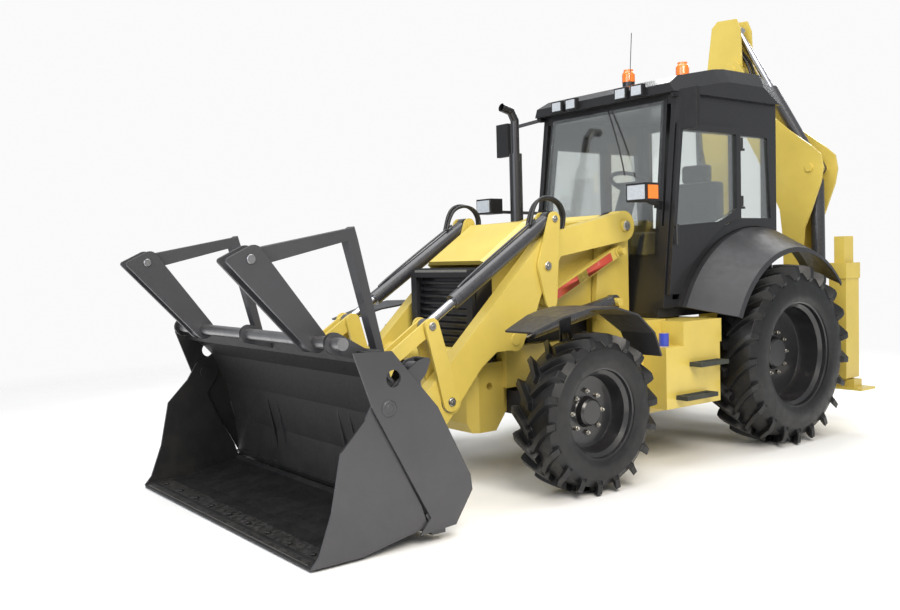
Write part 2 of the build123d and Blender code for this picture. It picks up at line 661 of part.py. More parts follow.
def front_post_at(z):
    """Half width of the front frame at a height."""
    share = (z - front_low_z) / (front_top_z - front_low_z)
    return front_low_half + (front_top_half - front_low_half) * share


door_hole = [(1015, 1160), (945, 1160), (930, 1230), (840, 1370), (720, 1480), (550, 1610),
             (400, 1690), (265, 1740), (265, 2400), (920, 2400)]
quarter_hole = [(165, 1760), (165, 2400), (-190, 2400), (-230, 1760)]
side_pane_low = 1560

with BuildPart() as cab_frame:
    # side frames down to the wing, then the narrower tub beside the tyres
    for y in (cab_y, -cab_y + cab_wall):
        slab(side(y), [(front_x(1100), 1100)] + arch(fender_r + 3, 24, 108, 10)
             + [(cab_back, roof_low), (front_x(roof_low), roof_low)], cab_wall)
    for y in (cab_low_y, -cab_low_y + 35):
        slab(side(y), [(front_x(floor_low), floor_low), (front_x(1700), 1700), (cab_back, 1700),
                       (cab_back, floor_low)], 35)
    for y in (cab_y + 1, -cab_y - 1 + 82):
        slab(side(y), quarter_hole, 82, Mode.SUBTRACT)
    slab(side(cab_y + 1), door_hole, 82, Mode.SUBTRACT)
    slab(side(-cab_y + 81), [(1000, side_pane_low)] + [(door_hole[8][0], 1740)]
         + door_hole[8:] , 82, Mode.SUBTRACT)
    # floor, scuttle and back
    block((cab_back, front_low_x - 5), (-cab_low_y, cab_low_y), (floor_low, floor_top))
    with BuildSketch(screen) as ring:
        with BuildLine():
            Polyline((-front_low_half, -40), (front_low_half, -40),
                     (front_top_half, screen_length), (-front_top_half, screen_length),
                     close=True)
        make_face()
        with BuildLine():
            Polyline((-front_low_half + 70, 400), (front_low_half - 70, 400),
                     (front_top_half - 50, screen_length - 70),
                     (-front_top_half + 50, screen_length - 70), close=True)
        make_face(mode=Mode.SUBTRACT)
    extrude(ring.sketch, amount=-50)
    block((front_x(roof_low) - 60, front_x(roof_low)), (-cab_y, cab_y), (2600, roof_low))
    with BuildSketch(back(cab_back)) as rear:
        with Locations((0, (floor_low + roof_low) / 2)):
            Rectangle(2 * cab_low_y, roof_low - floor_low)
        with Locations((0, 2060)):
            Rectangle(2 * cab_low_y - 140, 1080, mode=Mode.SUBTRACT)
    extrude(rear.sketch, amount=45)
    # door hinge brackets and pins
    for z in (1850, 2300):
        block((165, HINGE[0]), (cab_y - 5, HINGE[1] + 14), (z - 20, z - 2))
        disc(flat(z - 20), HINGE, 14, 18)
        disc(flat(z - 10), HINGE, 9, 85)
save(cab_frame.part, "cab_frame")

with BuildPart() as cab_glass:
    # windscreen on the front frame, side and quarter panes in their holes, rear pane
    with BuildSketch(screen) as pane:
        with BuildLine():
            Polyline((-front_low_half + 40, 380), (front_low_half - 40, 380),
                     (front_top_half - 25, screen_length - 45),
                     (-front_top_half + 25, screen_length - 45), close=True)
        make_face()
    extrude(pane.sketch, amount=6)
    for y in (cab_y - 10, -cab_y + 16):
        slab(side(y), quarter_hole, 6)
    slab(side(-cab_y + 16), [(1000, side_pane_low)] + [(door_hole[8][0], 1740)]
         + door_hole[8:], 6)
    with BuildSketch(back(cab_back + 20)) as rear:
        with Locations((0, 2060)):
            Rectangle(2 * cab_low_y - 140, 1080)
    extrude(rear.sketch, amount=6)
save(cab_glass.part, "cab_glass")

with BuildPart() as cab_roof:
    slab(side(740), [(1005, roof_low), (1015, 2735), (900, 2800), (480, 2885), (350, roof_top),
                     (-120, roof_top), (-300, 2800), (-345, 2730), (-340, roof_low)], 1480)
    chamfer(cab_roof.edges().filter_by(lambda e: e.center().Z > 2780 and abs(e.center().Y) > 700),
            length=60, length2=110)
    for x, y in ((610, 500), (760, 90)):
        disc(flat(2780), (x, y), 48, 130)
        disc(flat(2780), (x, y), 38, 175)
save(cab_roof.part, "cab_roof")

with BuildPart() as cab_interior:
    block((860, 1010), (-230, 230), (floor_top, 1560))
    slab(side(60), [(640, 2020), (700, 2060), (900, 1560), (860, 1400), (800, 1560)], 120)
    wheel_plane = Plane(origin=(rear_axle_x + 640, 0, 2060), z_dir=(-0.45, 0, 0.9),
                        x_dir=(0, 1, 0))
    with BuildSketch(wheel_plane) as rim:
        Circle(190)
        Circle(165, mode=Mode.SUBTRACT)
        Rectangle(340, 26)
    extrude(rim.sketch, amount=24)
    with BuildSketch(wheel_plane) as hub:
        Circle(32)
    extrude(hub.sketch, amount=-70)
    # seat stand and side consoles
    block((-120, 300), (-190, 190), (floor_top, 1480))
    for y in (1, -1):
        block((-200, 250), sorted((y * 330, y * 560)), (floor_top, 1720))
save(cab_interior.part, "cab_interior")

with BuildPart() as operator_seat:
    slab(side(250), [(-170, 1480), (360, 1480), (380, 1560), (350, 1610), (-60, 1590), (-130, 1700),
                     (-190, 2250), (-270, 2250), (-250, 1560)], 500)
save(operator_seat.part, "operator_seat")

# ---------------------------------------------------------------- door
door_in, door_out = cab_y + 3, cab_y + 38
door_shape = [(1092, 1200), (950, 1200), (920, 1290), (830, 1410), (700, 1520), (540, 1640),
              (400, 1716), (225, 1756), (225, 2450), (945, 2450)]
pane_shape = [(1000, 1700), (500, 1730), (330, 1800), (270, 1830), (270, 2400), (915, 2400)]
with BuildPart() as door_left:
    slab(side(door_out), door_shape, door_out - door_in)
    slab(side(door_out + 1), pane_shape, door_out - door_in + 2, Mode.SUBTRACT)
    disc(flat(1560), (1025, door_out + 24), 12, 150)
    for z in (1570, 1685):
        block((1015, 1035), (door_out - 2, door_out + 24), (z, z + 15))
    for z in (1850, 2300):
        disc(flat(z), HINGE, 20, 80)
        block((HINGE[0], 240), (HINGE[1] - 12, HINGE[1] + 12), (z, z + 80))
        disc(flat(z - 1), HINGE, 9 + fit, 82, Mode.SUBTRACT)
save(door_left.part, "door_left")

with BuildPart() as door_left_glass:
    slab(side(door_in + 20), pane_shape, 6)
save(door_left_glass.part, "door_left_glass")

# ---------------------------------------------------------------- rear wings
with BuildPart() as rear_fenders:
    # the wing's section stands at its rear end and turns forward over the tyre
    wing_plane = Plane(origin=(rear_axle_x, 0, rear_tyre_r), x_dir=(0, 1, 0),
                       z_dir=(sin(radians(wing_rear)), 0, -cos(radians(wing_rear))))
    wing = outline(wing_plane, [(cab_low_y, fender_r), (740, fender_r - 8), (1080, 825),
                                (1092, 790), (1080, 790), (1068, 810), (735, fender_r - 28),
                                (cab_low_y, fender_r - 20)])
    revolve(wing, axis=Axis((rear_axle_x, 0, rear_tyre_r), (0, 1, 0)),
            revolution_arc=wing_rear - wing_front)
    mirror(about=Plane.XZ)
save(rear_fenders.part, "rear_fenders")

# ---------------------------------------------------------------- exhaust, lamps, mirrors
with BuildPart() as exhaust:
    disc(flat(floor_low), (1360, -600), 34, 2540 - floor_low)
    disc(flat(1700), (1360, -600), 52, 640)
    with BuildLine() as bend:
        tip = [(rear_axle_x + 1360, -600, 2530), (rear_axle_x + 1360, -600, 2610),
               (rear_axle_x + 1400, -600, 2680), (rear_axle_x + 1500, -600, 2705)]
        Polyline(*tip)
    with BuildSketch(Plane(origin=tip[0])) as mouth:
        Circle(34)
        Circle(30, mode=Mode.SUBTRACT)
    sweep(mouth.sketch, path=bend.wire(), transition=Transition.RIGHT)
save(exhaust.part, "exhaust")

with BuildPart() as lamps_mirrors:
    for y in (1, -1):
        # headlamp on its bracket, whose foot stands on the front frame's post
        with BuildSketch(screen) as foot:
            with Locations((y * (front_post_at(1850) - 13), 760)):
                Rectangle(18, 60)
        extrude(foot.sketch, amount=70)
        beam((front_x(1850) + 45, y * (front_post_at(1850) - 17), 1860), (1430, y * 800, 1880),
             24, 24)
        block((1400, 1530), sorted((y * 730, y * 910)), (1860, 1985))
        # mirror on its arm under the roof's corner
        block((940, 990), sorted((y * 690, y * 730)), (2635, roof_low))
        beam((965, y * 710, 2652), (1150, y * 960, 2590), 24, 24)
        block((1130, 1170), sorted((y * 910, y * 1055)), (2360, 2640))
save(lamps_mirrors.part, "lamps_mirrors")

# ---------------------------------------------------------------- rear frame and stabilizers
with BuildPart() as rear_frame:
    for z0, z1 in ((480, 600), (1000, 1120)):
        block((frame_back, frame_front), (-rails_half, rails_half), (z0, z1))
    block((frame_front - 20, frame_front), (-400, 400), (480, 1120))
    for y in (rear_tie_y, -rear_tie_y + rear_tie_t):
        hull(side(y), [(REAR_TIE, 38), ((REAR_TIE[0], 490), 38)], rear_tie_t)
        disc(side(y + 1), REAR_TIE, rear_tie_r, rear_tie_t + 2, Mode.SUBTRACT)
save(rear_frame.part, "rear_frame")

with BuildPart() as leg_columns:
    for y in (1, -1):
        centre = (leg_x, y * leg_y)
        with BuildSketch(flat(420)) as post:
            with Locations(centre):
                Rectangle(tube_wx, tube_wy)
                Rectangle(leg_wx + 10, leg_wy + 10, mode=Mode.SUBTRACT)
        extrude(post.sketch, amount=960)
        # the collars carry the wear pads that guide the leg
        for z, grow, height in ((1250, 16, 130), (420, 0, 60)):
            with BuildSketch(flat(z)) as collar:
                with Locations(centre):
                    Rectangle(tube_wx + grow, tube_wy + grow)
                    Rectangle(leg_wx + 2 * fit, leg_wy + 2 * fit, mode=Mode.SUBTRACT)
            extrude(collar.sketch, amount=height)
save(leg_columns.part, "leg_columns")

with BuildPart() as stabilizer_left:
    with BuildSketch(flat(405)) as inner_leg:
        with Locations((leg_x, leg_y)):
            Rectangle(leg_wx, leg_wy)
    extrude(inner_leg.sketch, amount=1600 - 405)
    with BuildSketch(flat(330)) as foot:
        with Locations((leg_x, leg_y)):
            Rectangle(tube_wx + 20, 420)
    extrude(foot.sketch, amount=20)
    block((leg_x - 60, leg_x + 60), (leg_y - 120, leg_y + 120), (345, 410))
save(stabilizer_left.part, "stabilizer_left")

with BuildPart() as stabilizer_right:
    add(mirror(stabilizer_left.part, about=Plane.XZ))
save(stabilizer_right.part, "stabilizer_right")

# ---------------------------------------------------------------- hoe carriage and kingpost
carriage_half = 250
with BuildPart() as carriage:
    block((frame_back - 60, frame_back - 5), (post_y - carriage_half, post_y + carriage_half),
          (440, 1160))
    for z0, z1 in ((480, 600), (1000, 1120)):
        block((frame_back - 10, frame_back - fit), (post_y - 240, post_y + 240), (z0, z1))
    # hooks over the upper and under the lower rail
    block((frame_back - 40, frame_back + 60), (post_y - 240, post_y + 240), (1120 + fit, 1145))
    block((frame_back - 40, frame_back + 60), (post_y - 240, post_y + 240), (455, 480 - fit))
    for z0, z1 in ((515, post_low - 5), (post_top + 5, post_top + 75)):
        with BuildSketch(flat(z0)) as lug:
            with Locations((hoe_x, post_y)):
                Circle(90)
            with Locations(((hoe_x + frame_back - 50) / 2, post_y)):
                Rectangle(abs(hoe_x - frame_back + 50), 170)
        extrude(lug.sketch, amount=z1 - z0)
        disc(flat(z0 - 1), (hoe_x, post_y), 45 + fit, z1 - z0 + 2, Mode.SUBTRACT)
save(carriage.part, "carriage")

with BuildPart() as kingpost:
    disc(flat(post_low), (hoe_x, post_y), 88, post_top - post_low)
    disc(flat(510), (hoe_x, post_y), 45, post_top + 90 - 510)
    block((hoe_x - 80, hoe_x + 80), (380, post_y), (620, 780))
    disc(across(-100), BOOM, 80, 200)
    disc(across(-100 - 1), BOOM, 35 + fit, 202, Mode.SUBTRACT)
    # swivel head above the upper lug, with ears for the boom cylinder
    disc(flat(post_top + 81), (hoe_x, post_y), 88, 15)
    for x in (-75, 45):
        hull(across(x), [(BOOM_BASE, 55), ((560, post_top + 105), 20), ((640, post_top + 105), 20)], 30)
    disc(across(-90), BOOM_BASE, 28, 180)
save(kingpost.part, "kingpost")

# ---------------------------------------------------------------- boom
boom_shape = [(305, 690), (299, 1581), (267, 1861), (40, 2346), (-117, 2629), (-303, 3150),
              (-150, 3235), (113, 2783), (358, 2566), (579, 2400), (667, 2321), (688, 2202),
              (665, 2075), (577, 1843), (509, 1686), (491, 1505), (458, 720)]
with BuildPart() as boom:
    for x in (-boom_out, boom_in):
        slab(across(x), boom_shape, boom_out - boom_in)
        disc(across(x), BOOM, 80, boom_out - boom_in)
        disc(across(x), DIPPER, 92, boom_out - boom_in)
        disc(across(x), KNEE, 95, boom_out - boom_in)
    # inner edge, lower leg and upper webs between the plates
    inner_edge = [(299, 860), (299, 1581), (267, 1861), (40, 2346), (-110, 2616)]
    slab(across(-boom_in - 1), inner_edge + list(reversed(sheet_points(inner_edge, -22))),
         2 * boom_in + 2)
    outer_leg = [(470, 860), (484, 1400)]
    slab(across(-boom_in - 1), outer_leg + list(reversed(sheet_points(outer_leg, 20))),
         2 * boom_in + 2)
    upper_web = [(330, 2440), (150, 2660), (60, 2800)]
    slab(across(-boom_in - 1), upper_web + list(reversed(sheet_points(upper_web, 20))),
         2 * boom_in + 2)
    # pins: foot and dipper go right through, the knee's is two stubs either side of the rod's eye
    for pivot, radius in ((BOOM, 35), (DIPPER, 35)):
        disc(across(-hoe_pin_end), pivot, radius, 2 * hoe_pin_end)
    for x in (-hoe_pin_end, 44):
        disc(across(x), KNEE, 35, hoe_pin_end - 44)
save(boom.part, "boom")

boom_rod_r, boom_barrel_r, boom_barrel_len = 32, 58, 1010
with BuildPart() as boom_barrel:
    axis = hoe_axis(BOOM_BASE, KNEE)
    tube(axis, 38, 30, 125 - 30)
    tube(axis, boom_barrel_r, 125, boom_barrel_len - 125)
    tube(axis, 38, 20, 60)
    disc(across(-40), BOOM_BASE, 50, 80)
    with BuildSketch(axis.offset(85)) as bore:
        Circle(boom_rod_r + fit)
    extrude(bore.sketch, amount=boom_barrel_len, mode=Mode.SUBTRACT)
    disc(across(-60), BOOM_BASE, 28 + fit, 120, Mode.SUBTRACT)
save(boom_barrel.part, "boom_barrel")

with BuildPart() as boom_rod:
    axis = hoe_axis(BOOM_BASE, KNEE)
    tube(axis, boom_rod_r, 95, distance(BOOM_BASE, KNEE) - 95)
    disc(across(-38), KNEE, 50, 76)
save(boom_rod.part, "boom_rod")

# ---------------------------------------------------------------- dipper
dipper_shape = [(-519, 3228), (-460, 3621), (-395, 3674), (-191, 3658), (-150, 3560), (-135, 3190),
                (-180, 3090), (-345, 2690), (-300, 2500), (-285, 2210), (-300, 2050), (-340, 1500),
                (-455, 1500), (-490, 2050), (-580, 2500), (-600, 2828)]
with BuildPart() as dipper:
    for x in (-dip_out, dip_in):
        slab(across(x), dipper_shape, dip_out - dip_in)
        disc(across(x), HOE_BUCKET, 62, dip_out - dip_in)
        disc(across(x), DIPPER, 85, dip_out - dip_in)
        hull(across(x), [(HOE_BASE, 55), ((-560, 3140), 60), ((-560, 2950), 60)],
             dip_out - dip_in)
    left_web = [(-455, 1600), (-490, 2050), (-580, 2500), (-600, 2828), (-519, 3228), (-462, 3600)]
    slab(across(-dip_in - 1), left_web + list(reversed(sheet_points(left_web, -20))),
         2 * dip_in + 2)
    right_web = [(-340, 1600), (-300, 2050), (-285, 2210), (-300, 2500), (-345, 2690),
                 (-190, 3066)]
    slab(across(-dip_in - 1), right_web + list(reversed(sheet_points(right_web, 20))),
         2 * dip_in + 2)
    disc(across(-dip_in - 1), DIPPER, 60, 2 * dip_in + 2)
    disc(across(-hoe_pin_end), DIPPER, 35 + fit, 2 * hoe_pin_end, Mode.SUBTRACT)
    for pivot, radius in ((HOE_BASE, 25), (HOE_LEVER, 28), (HOE_BUCKET, 30)):
        disc(across(-hoe_pin_end), pivot, radius, 2 * hoe_pin_end)
save(dipper.part, "dipper")

dipper_rod_r, dipper_barrel_r, dipper_barrel_len = 30, 52, 880
with BuildPart() as dipper_barrel:
    axis = hoe_axis(KNEE, DIPPER_EYE)
    tube(axis, dipper_barrel_r, 72, dipper_barrel_len - 72)
    for x in (-73, 46):
        hull(across(x), [(KNEE, 50), (toward(KNEE, DIPPER_EYE, 130), 40)], 27)
    with BuildSketch(axis.offset(100)) as bore:
        Circle(dipper_rod_r + fit)
    extrude(bore.sketch, amount=dipper_barrel_len, mode=Mode.SUBTRACT)
    disc(across(-80), KNEE, 35 + fit, 160, Mode.SUBTRACT)
save(dipper_barrel.part, "dipper_barrel")

with BuildPart() as dipper_rod:
    axis = hoe_axis(KNEE, DIPPER_EYE)
    tube(axis, dipper_rod_r, 740, distance(KNEE, DIPPER_EYE) - 740)
    disc(across(-38), DIPPER_EYE, 48, 76)
save(dipper_rod.part, "dipper_rod")

# ---------------------------------------------------------------- hoe bucket linkage
hoe_rod_r, hoe_barrel_r, hoe_barrel_len = 26, 46, 935
with BuildPart() as hoe_barrel:
    axis = hoe_axis(HOE_BASE, HOE_EYE)
    tube(axis, hoe_barrel_r, 30, hoe_barrel_len - 30)
    disc(across(-40), HOE_BASE, 46, 80)
    with BuildSketch(axis.offset(75)) as bore:
        Circle(hoe_rod_r + fit)
    extrude(bore.sketch, amount=hoe_barrel_len, mode=Mode.SUBTRACT)
    disc(across(-60), HOE_BASE, 25 + fit, 120, Mode.SUBTRACT)
save(hoe_barrel.part, "hoe_barrel")

with BuildPart() as hoe_rod:
    axis = hoe_axis(HOE_BASE, HOE_EYE)
    tube(axis, hoe_rod_r, 480, distance(HOE_BASE, HOE_EYE) - 480)
    disc(across(-30), HOE_EYE, 42, 60)
save(hoe_rod.part, "hoe_rod")

with BuildPart() as hoe_lever:
    for x in (-112, 98):
        hull(across(x), [(HOE_LEVER, 50), (HOE_EYE, 45)], 14)
        disc(across(x - 1), HOE_LEVER, 28 + fit, 16, Mode.SUBTRACT)
    for x in (-128, 60):
        disc(across(x), HOE_EYE, 24, 68)
save(hoe_lever.part, "hoe_lever")

with BuildPart() as hoe_link:
    for x in (-128, 114):
        hull(across(x), [(HOE_EYE, 42), (HOE_LINK, 42)], 14)
        disc(across(x - 1), HOE_EYE, 24 + fit, 16, Mode.SUBTRACT)
save(hoe_link.part, "hoe_link")

# ---------------------------------------------------------------- hoe bucket
scoop = [(-586, 1205), (-590, 1180), (-540, 1030), (-400, 940), (-230, 935), (-90, 1040),
         (0, 1240)]
with BuildPart() as hoe_bucket:
    slab(across(-hoe_bucket_half), scoop + list(reversed(sheet_points(scoop, 14))),
         2 * hoe_bucket_half)
    for x in (-hoe_bucket_half, hoe_bucket_half - 12):
        slab(across(x), scoop + [(-60, 1262), (-330, 1440), (-520, 1400), (-560, 1330)], 12)
    for x in (-112, 98):
        with BuildSketch(across(x)) as ear:
            for centre, radius in ((HOE_BUCKET, 58), (HOE_LINK, 45), ((-574, 1205), 14),
                                   ((-340, 1330), 30)):
                with Locations(centre):
                    Circle(radius)
            make_hull()
        extrude(ear.sketch, amount=14)
        disc(across(x - 1), HOE_BUCKET, 30 + fit, 16, Mode.SUBTRACT)
save(hoe_bucket.part, "hoe_bucket")
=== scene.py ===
# %% [markdown]
# # Looks of a backhoe loader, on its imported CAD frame
# Every number is in metres, in the frame of the part: +X forward, +Y to the machine's left, +Z up.
# ## 1. Load the frame
# The CAD nodes stay where they are. Pivots come from the joints and faces from the nodes' boxes,
# so a changed size in the CAD moves the details too.

# %%
import json
import math

import bmesh
import bpy
import numpy as np
from mathutils import Matrix, Vector


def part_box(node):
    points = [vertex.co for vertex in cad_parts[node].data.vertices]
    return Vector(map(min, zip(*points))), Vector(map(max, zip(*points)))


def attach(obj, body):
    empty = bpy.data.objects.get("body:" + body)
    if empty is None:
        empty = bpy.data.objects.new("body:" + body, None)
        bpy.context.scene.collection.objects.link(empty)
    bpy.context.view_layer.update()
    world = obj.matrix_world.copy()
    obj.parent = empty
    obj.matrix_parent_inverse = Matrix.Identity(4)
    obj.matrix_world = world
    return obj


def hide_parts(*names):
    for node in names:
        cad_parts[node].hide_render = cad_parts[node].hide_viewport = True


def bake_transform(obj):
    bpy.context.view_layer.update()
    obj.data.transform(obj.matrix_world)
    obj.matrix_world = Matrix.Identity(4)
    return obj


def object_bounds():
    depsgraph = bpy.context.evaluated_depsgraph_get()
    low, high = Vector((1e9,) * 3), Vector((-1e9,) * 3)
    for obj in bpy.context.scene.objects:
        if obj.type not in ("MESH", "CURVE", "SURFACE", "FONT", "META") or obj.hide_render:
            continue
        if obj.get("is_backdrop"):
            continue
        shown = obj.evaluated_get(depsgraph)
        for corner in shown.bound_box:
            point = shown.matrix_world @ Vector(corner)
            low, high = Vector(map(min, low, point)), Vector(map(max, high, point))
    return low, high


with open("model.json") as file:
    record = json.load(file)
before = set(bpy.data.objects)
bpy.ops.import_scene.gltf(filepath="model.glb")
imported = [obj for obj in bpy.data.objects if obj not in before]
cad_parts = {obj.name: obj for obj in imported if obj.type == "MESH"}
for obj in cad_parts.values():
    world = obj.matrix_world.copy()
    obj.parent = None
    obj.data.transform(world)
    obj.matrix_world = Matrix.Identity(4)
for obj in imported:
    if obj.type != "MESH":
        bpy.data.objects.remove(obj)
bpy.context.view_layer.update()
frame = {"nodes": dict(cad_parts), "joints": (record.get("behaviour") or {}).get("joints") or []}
pivot = {j["name"]: Vector(j["pos_m"]) for j in frame["joints"] if j.get("pos_m")}
UP, DOWN = Vector((0, 0, 1)), Vector((0, 0, -1))


def corners(node):
    """The coordinates of a CAD node, as an array."""
    return np.array([v.co for v in frame["nodes"][node].data.vertices], float).reshape(-1, 3)


def at(point, x=0.0, y=0.0, z=0.0):
    """A point moved by so much along each axis."""
    return Vector((point[0] + x, point[1] + y, point[2] + z))


# %% [markdown]
# ## 2. Tools for materials
# Each finish is a small tree of nodes: colour, roughness and bump all read the same noise, set by
# its real size in millimetres.

# %%
def linear(code):
    """An sRGB colour written as hex digits, as linear RGBA."""
    channels = [int(code[i:i + 2], 16) / 255 for i in (0, 2, 4)]
    return [c / 12.92 if c <= 0.04045 else ((c + 0.055) / 1.055) ** 2.4 for c in channels] + [1.0]


class Finish:
    """A material's tree, with short calls for the nodes that the finishes share."""

    def __init__(self, name):
        self.material = bpy.data.materials.new(name)
        self.material.use_nodes = True
        self.tree = self.material.node_tree
        self.surface = self.tree.nodes["Principled BSDF"]
        self.place = self.tree.nodes.new("ShaderNodeTexCoord").outputs["Object"]

    def put(self, socket, value):
        if isinstance(value, bpy.types.NodeSocket):
            self.tree.links.new(value, socket)
        else:
            socket.default_value = value

    def node(self, kind, settings=None, **inputs):
        made = self.tree.nodes.new(kind)
        for name, value in (settings or {}).items():
            setattr(made, name, value)
        for name, value in inputs.items():
            self.put(made.inputs[name.replace("_", " ")], value)
        return made

    def noise(self, millimetres, detail=3.0, roughness=0.55, distortion=0.0):
        made = self.node("ShaderNodeTexNoise", Vector=self.place, Scale=1000.0 / millimetres,
                         Detail=detail, Roughness=roughness, Distortion=distortion)
        return made.outputs["Fac"]

    def span(self, value, low, high, to_low=0.0, to_high=1.0):
        made = self.tree.nodes.new("ShaderNodeMapRange")
        for i, v in enumerate((value, low, high, to_low, to_high)):
            self.put(made.inputs[i], v)
        return made.outputs[0]

    def sum(self, operation, a, b):
        made = self.node("ShaderNodeMath", {"operation": operation})
        self.put(made.inputs[0], a)
        self.put(made.inputs[1], b)
        return made.outputs[0]

    def blend(self, share, a, b):
        made = self.node("ShaderNodeMix", {"data_type": "RGBA"})
        self.put(made.inputs[0], share)
        self.put(made.inputs[6], a)
        self.put(made.inputs[7], b)
        return made.outputs[2]

    def height(self, axis=2):
        made = self.node("ShaderNodeSeparateXYZ", Vector=self.place)
        return made.outputs[axis]

    def facing_up(self):
        normal = self.node("ShaderNodeNewGeometry").outputs["Normal"]
        return self.node("ShaderNodeSeparateXYZ", Vector=normal).outputs[2]

    def soft_edge(self, millimetres):
        """The normal with its sharp edges rounded, and how near a point is to such an edge."""
        bevel = self.node("ShaderNodeBevel", {"samples": 4}, Radius=millimetres / 1000)
        flat = self.node("ShaderNodeNewGeometry").outputs["Normal"]
        dot = self.node("ShaderNodeVectorMath", {"operation": "DOT_PRODUCT"})
        self.put(dot.inputs[0], bevel.outputs[0])
        self.put(dot.inputs[1], flat)
        return bevel.outputs[0], self.span(dot.outputs["Value"], 0.999, 0.85)

    def bump(self, height, millimetres, normal=None, strength=1.0):
        made = self.node("ShaderNodeBump", Height=height, Distance=millimetres / 1000,
                         Strength=strength)
        if normal is not None:
            self.put(made.inputs["Normal"], normal)
        return made.outputs["Normal"]

    def set(self, **inputs):
        for name, value in inputs.items():
            self.put(self.surface.inputs[name.replace("_", " ")], value)
        return self.material


# %% [markdown]
# ## 3. The finishes
# Paint has an orange-peel skin, soft edges, faint handling marks, and dust that gathers low down
# and on faces that look up. Rubber has a painted highlight: a lighter grey along its sharp edges.

# %%
def paint(name, code, rough=0.34, coat=0.5, dust=0.35, wear=0.25, bare="8a8780", peel=0.05):
    """Sprayed metal: colour drifts a little, edges are rubbed, dust lies low and on top."""
    f = Finish(name)
    edge_normal, edge = f.soft_edge(3.0)
    cloud, fine = f.noise(420, 4), f.noise(26, 5, 0.62)
    base = linear(code)
    shade = [c * 0.86 for c in base[:3]] + [1]
    colour = f.blend(f.span(cloud, 0.35, 0.68), base, shade)
    rubbed = f.sum("MULTIPLY", edge, f.span(f.noise(38, 6, 0.7), 0.56, 0.66))
    rubbed = f.sum("MULTIPLY", rubbed, wear)
    colour = f.blend(rubbed, colour, linear(bare))
    low = f.span(f.height(), 1.15, 0.12)
    lying = f.span(f.facing_up(), 0.55, 1.0, 0.0, 0.35)
    amount = f.sum("MULTIPLY", f.sum("MAXIMUM", low, lying), f.span(f.noise(150, 6, 0.68), 0.4, 0.75))
    amount = f.sum("MULTIPLY", amount, dust)
    colour = f.blend(amount, colour, linear("8f877a"))
    roughness = f.sum("ADD", f.span(fine, 0.3, 0.7, rough - 0.06, rough + 0.07),
                      f.sum("MULTIPLY", amount, 0.5))
    skin = f.bump(f.noise(7, 2), peel, edge_normal)
    return f.set(Base_Color=colour, Roughness=roughness, Normal=skin, Coat_Weight=coat,
                 Coat_Roughness=0.08)


def moulded(name, code, rough=0.55, grain=0.12, grain_mm=1.6, dust=0.3):
    """Textured plastic, or cast iron where the grain is coarse."""
    f = Finish(name)
    edge_normal, edge = f.soft_edge(3.5)
    colour = f.blend(f.span(f.noise(180, 4), 0.35, 0.7), linear(code),
                     [c * 1.35 for c in linear(code)[:3]] + [1])
    low = f.span(f.height(), 1.3, 0.1)
    amount = f.sum("MULTIPLY", f.sum("MULTIPLY", low, f.span(f.noise(90, 6, 0.7), 0.42, 0.75)), dust)
    colour = f.blend(amount, colour, linear("857e72"))
    return f.set(Base_Color=colour, Roughness=f.span(f.noise(40, 4), 0.3, 0.7, rough - 0.07, rough + 0.09),
                 Normal=f.bump(f.noise(grain_mm, 2), grain, edge_normal))


def rubber(name, code="09090a", rough=0.44, dust=0.05):
    """Tyre rubber: a painted highlight makes its sharp edges a lighter grey; dusty between the lugs."""
    f = Finish(name)
    edge_normal, edge = f.soft_edge(4.0)
    colour = f.blend(f.span(f.noise(140, 5), 0.36, 0.7), linear(code), linear("131315"))
    # painted highlight: near the sharp edges the rubber is mixed towards a lighter grey
    colour = f.blend(f.sum("MULTIPLY", edge, 0.35), colour, linear("2c2c30"))
    amount = f.sum("MULTIPLY", f.span(f.noise(60, 7, 0.7), 0.48, 0.78), dust)
    colour = f.blend(amount, colour, linear("6f6a60"))
    grain = f.sum("ADD", f.noise(3, 3), f.sum("MULTIPLY", f.noise(22, 3), 0.5))
    return f.set(Base_Color=colour, Roughness=f.span(f.noise(55, 4), 0.3, 0.7, rough - 0.1, rough + 0.1),
                 Normal=f.bump(grain, 0.35, edge_normal))


def metal(name, code, rough, brushed_mm=0.0, smear=0.15):
    """Bare or plated steel: fine turning marks and an oily drift in its shine."""
    f = Finish(name)
    colour = f.blend(f.span(f.noise(70, 5), 0.35, 0.7), linear(code),
                     [c * 0.8 for c in linear(code)[:3]] + [1])
    roughness = f.span(f.noise(35, 6, 0.65, 0.4), 0.3, 0.75, rough * (1 - smear), rough * (1 + 2 * smear))
    return f.set(Base_Color=colour, Metallic=1.0, Roughness=roughness,
                 Normal=f.bump(f.noise(brushed_mm or 2.0, 3), 0.02 if brushed_mm else 0.006))


def clear(name, code, tint=0.0, rough=0.02):
    """Glazing: mostly open, with a reflecting skin and a little dust in patches."""
    f = Finish(name)
    glass = f.node("ShaderNodeBsdfGlossy", Color=(1, 1, 1, 1),
                   Roughness=f.span(f.noise(60, 5), 0.35, 0.7, rough, rough + 0.05))
    wavy = f.bump(f.noise(600, 2), 0.4)
    f.put(glass.inputs["Normal"], wavy)
    through = f.node("ShaderNodeBsdfTransparent", Color=linear(code))
    film = f.node("ShaderNodeBsdfDiffuse", Color=linear("b9b6ad"))
    sheen = f.node("ShaderNodeFresnel", IOR=1.5).outputs[0]
    mixed = f.node("ShaderNodeMixShader")
    f.put(mixed.inputs[0], f.sum("MINIMUM", f.sum("MULTIPLY", sheen, 0.5), 0.9))
    f.put(mixed.inputs[1], through.outputs[0])
    f.put(mixed.inputs[2], glass.outputs[0])
    dusty = f.node("ShaderNodeMixShader")
    f.put(dusty.inputs[0], f.span(f.noise(90, 6, 0.7), 0.45, 0.9, tint, tint + 0.01))
    f.put(dusty.inputs[1], mixed.outputs[0])
    f.put(dusty.inputs[2], film.outputs[0])
    f.tree.links.new(dusty.outputs[0], f.tree.nodes["Material Output"].inputs["Surface"])
    return f.material


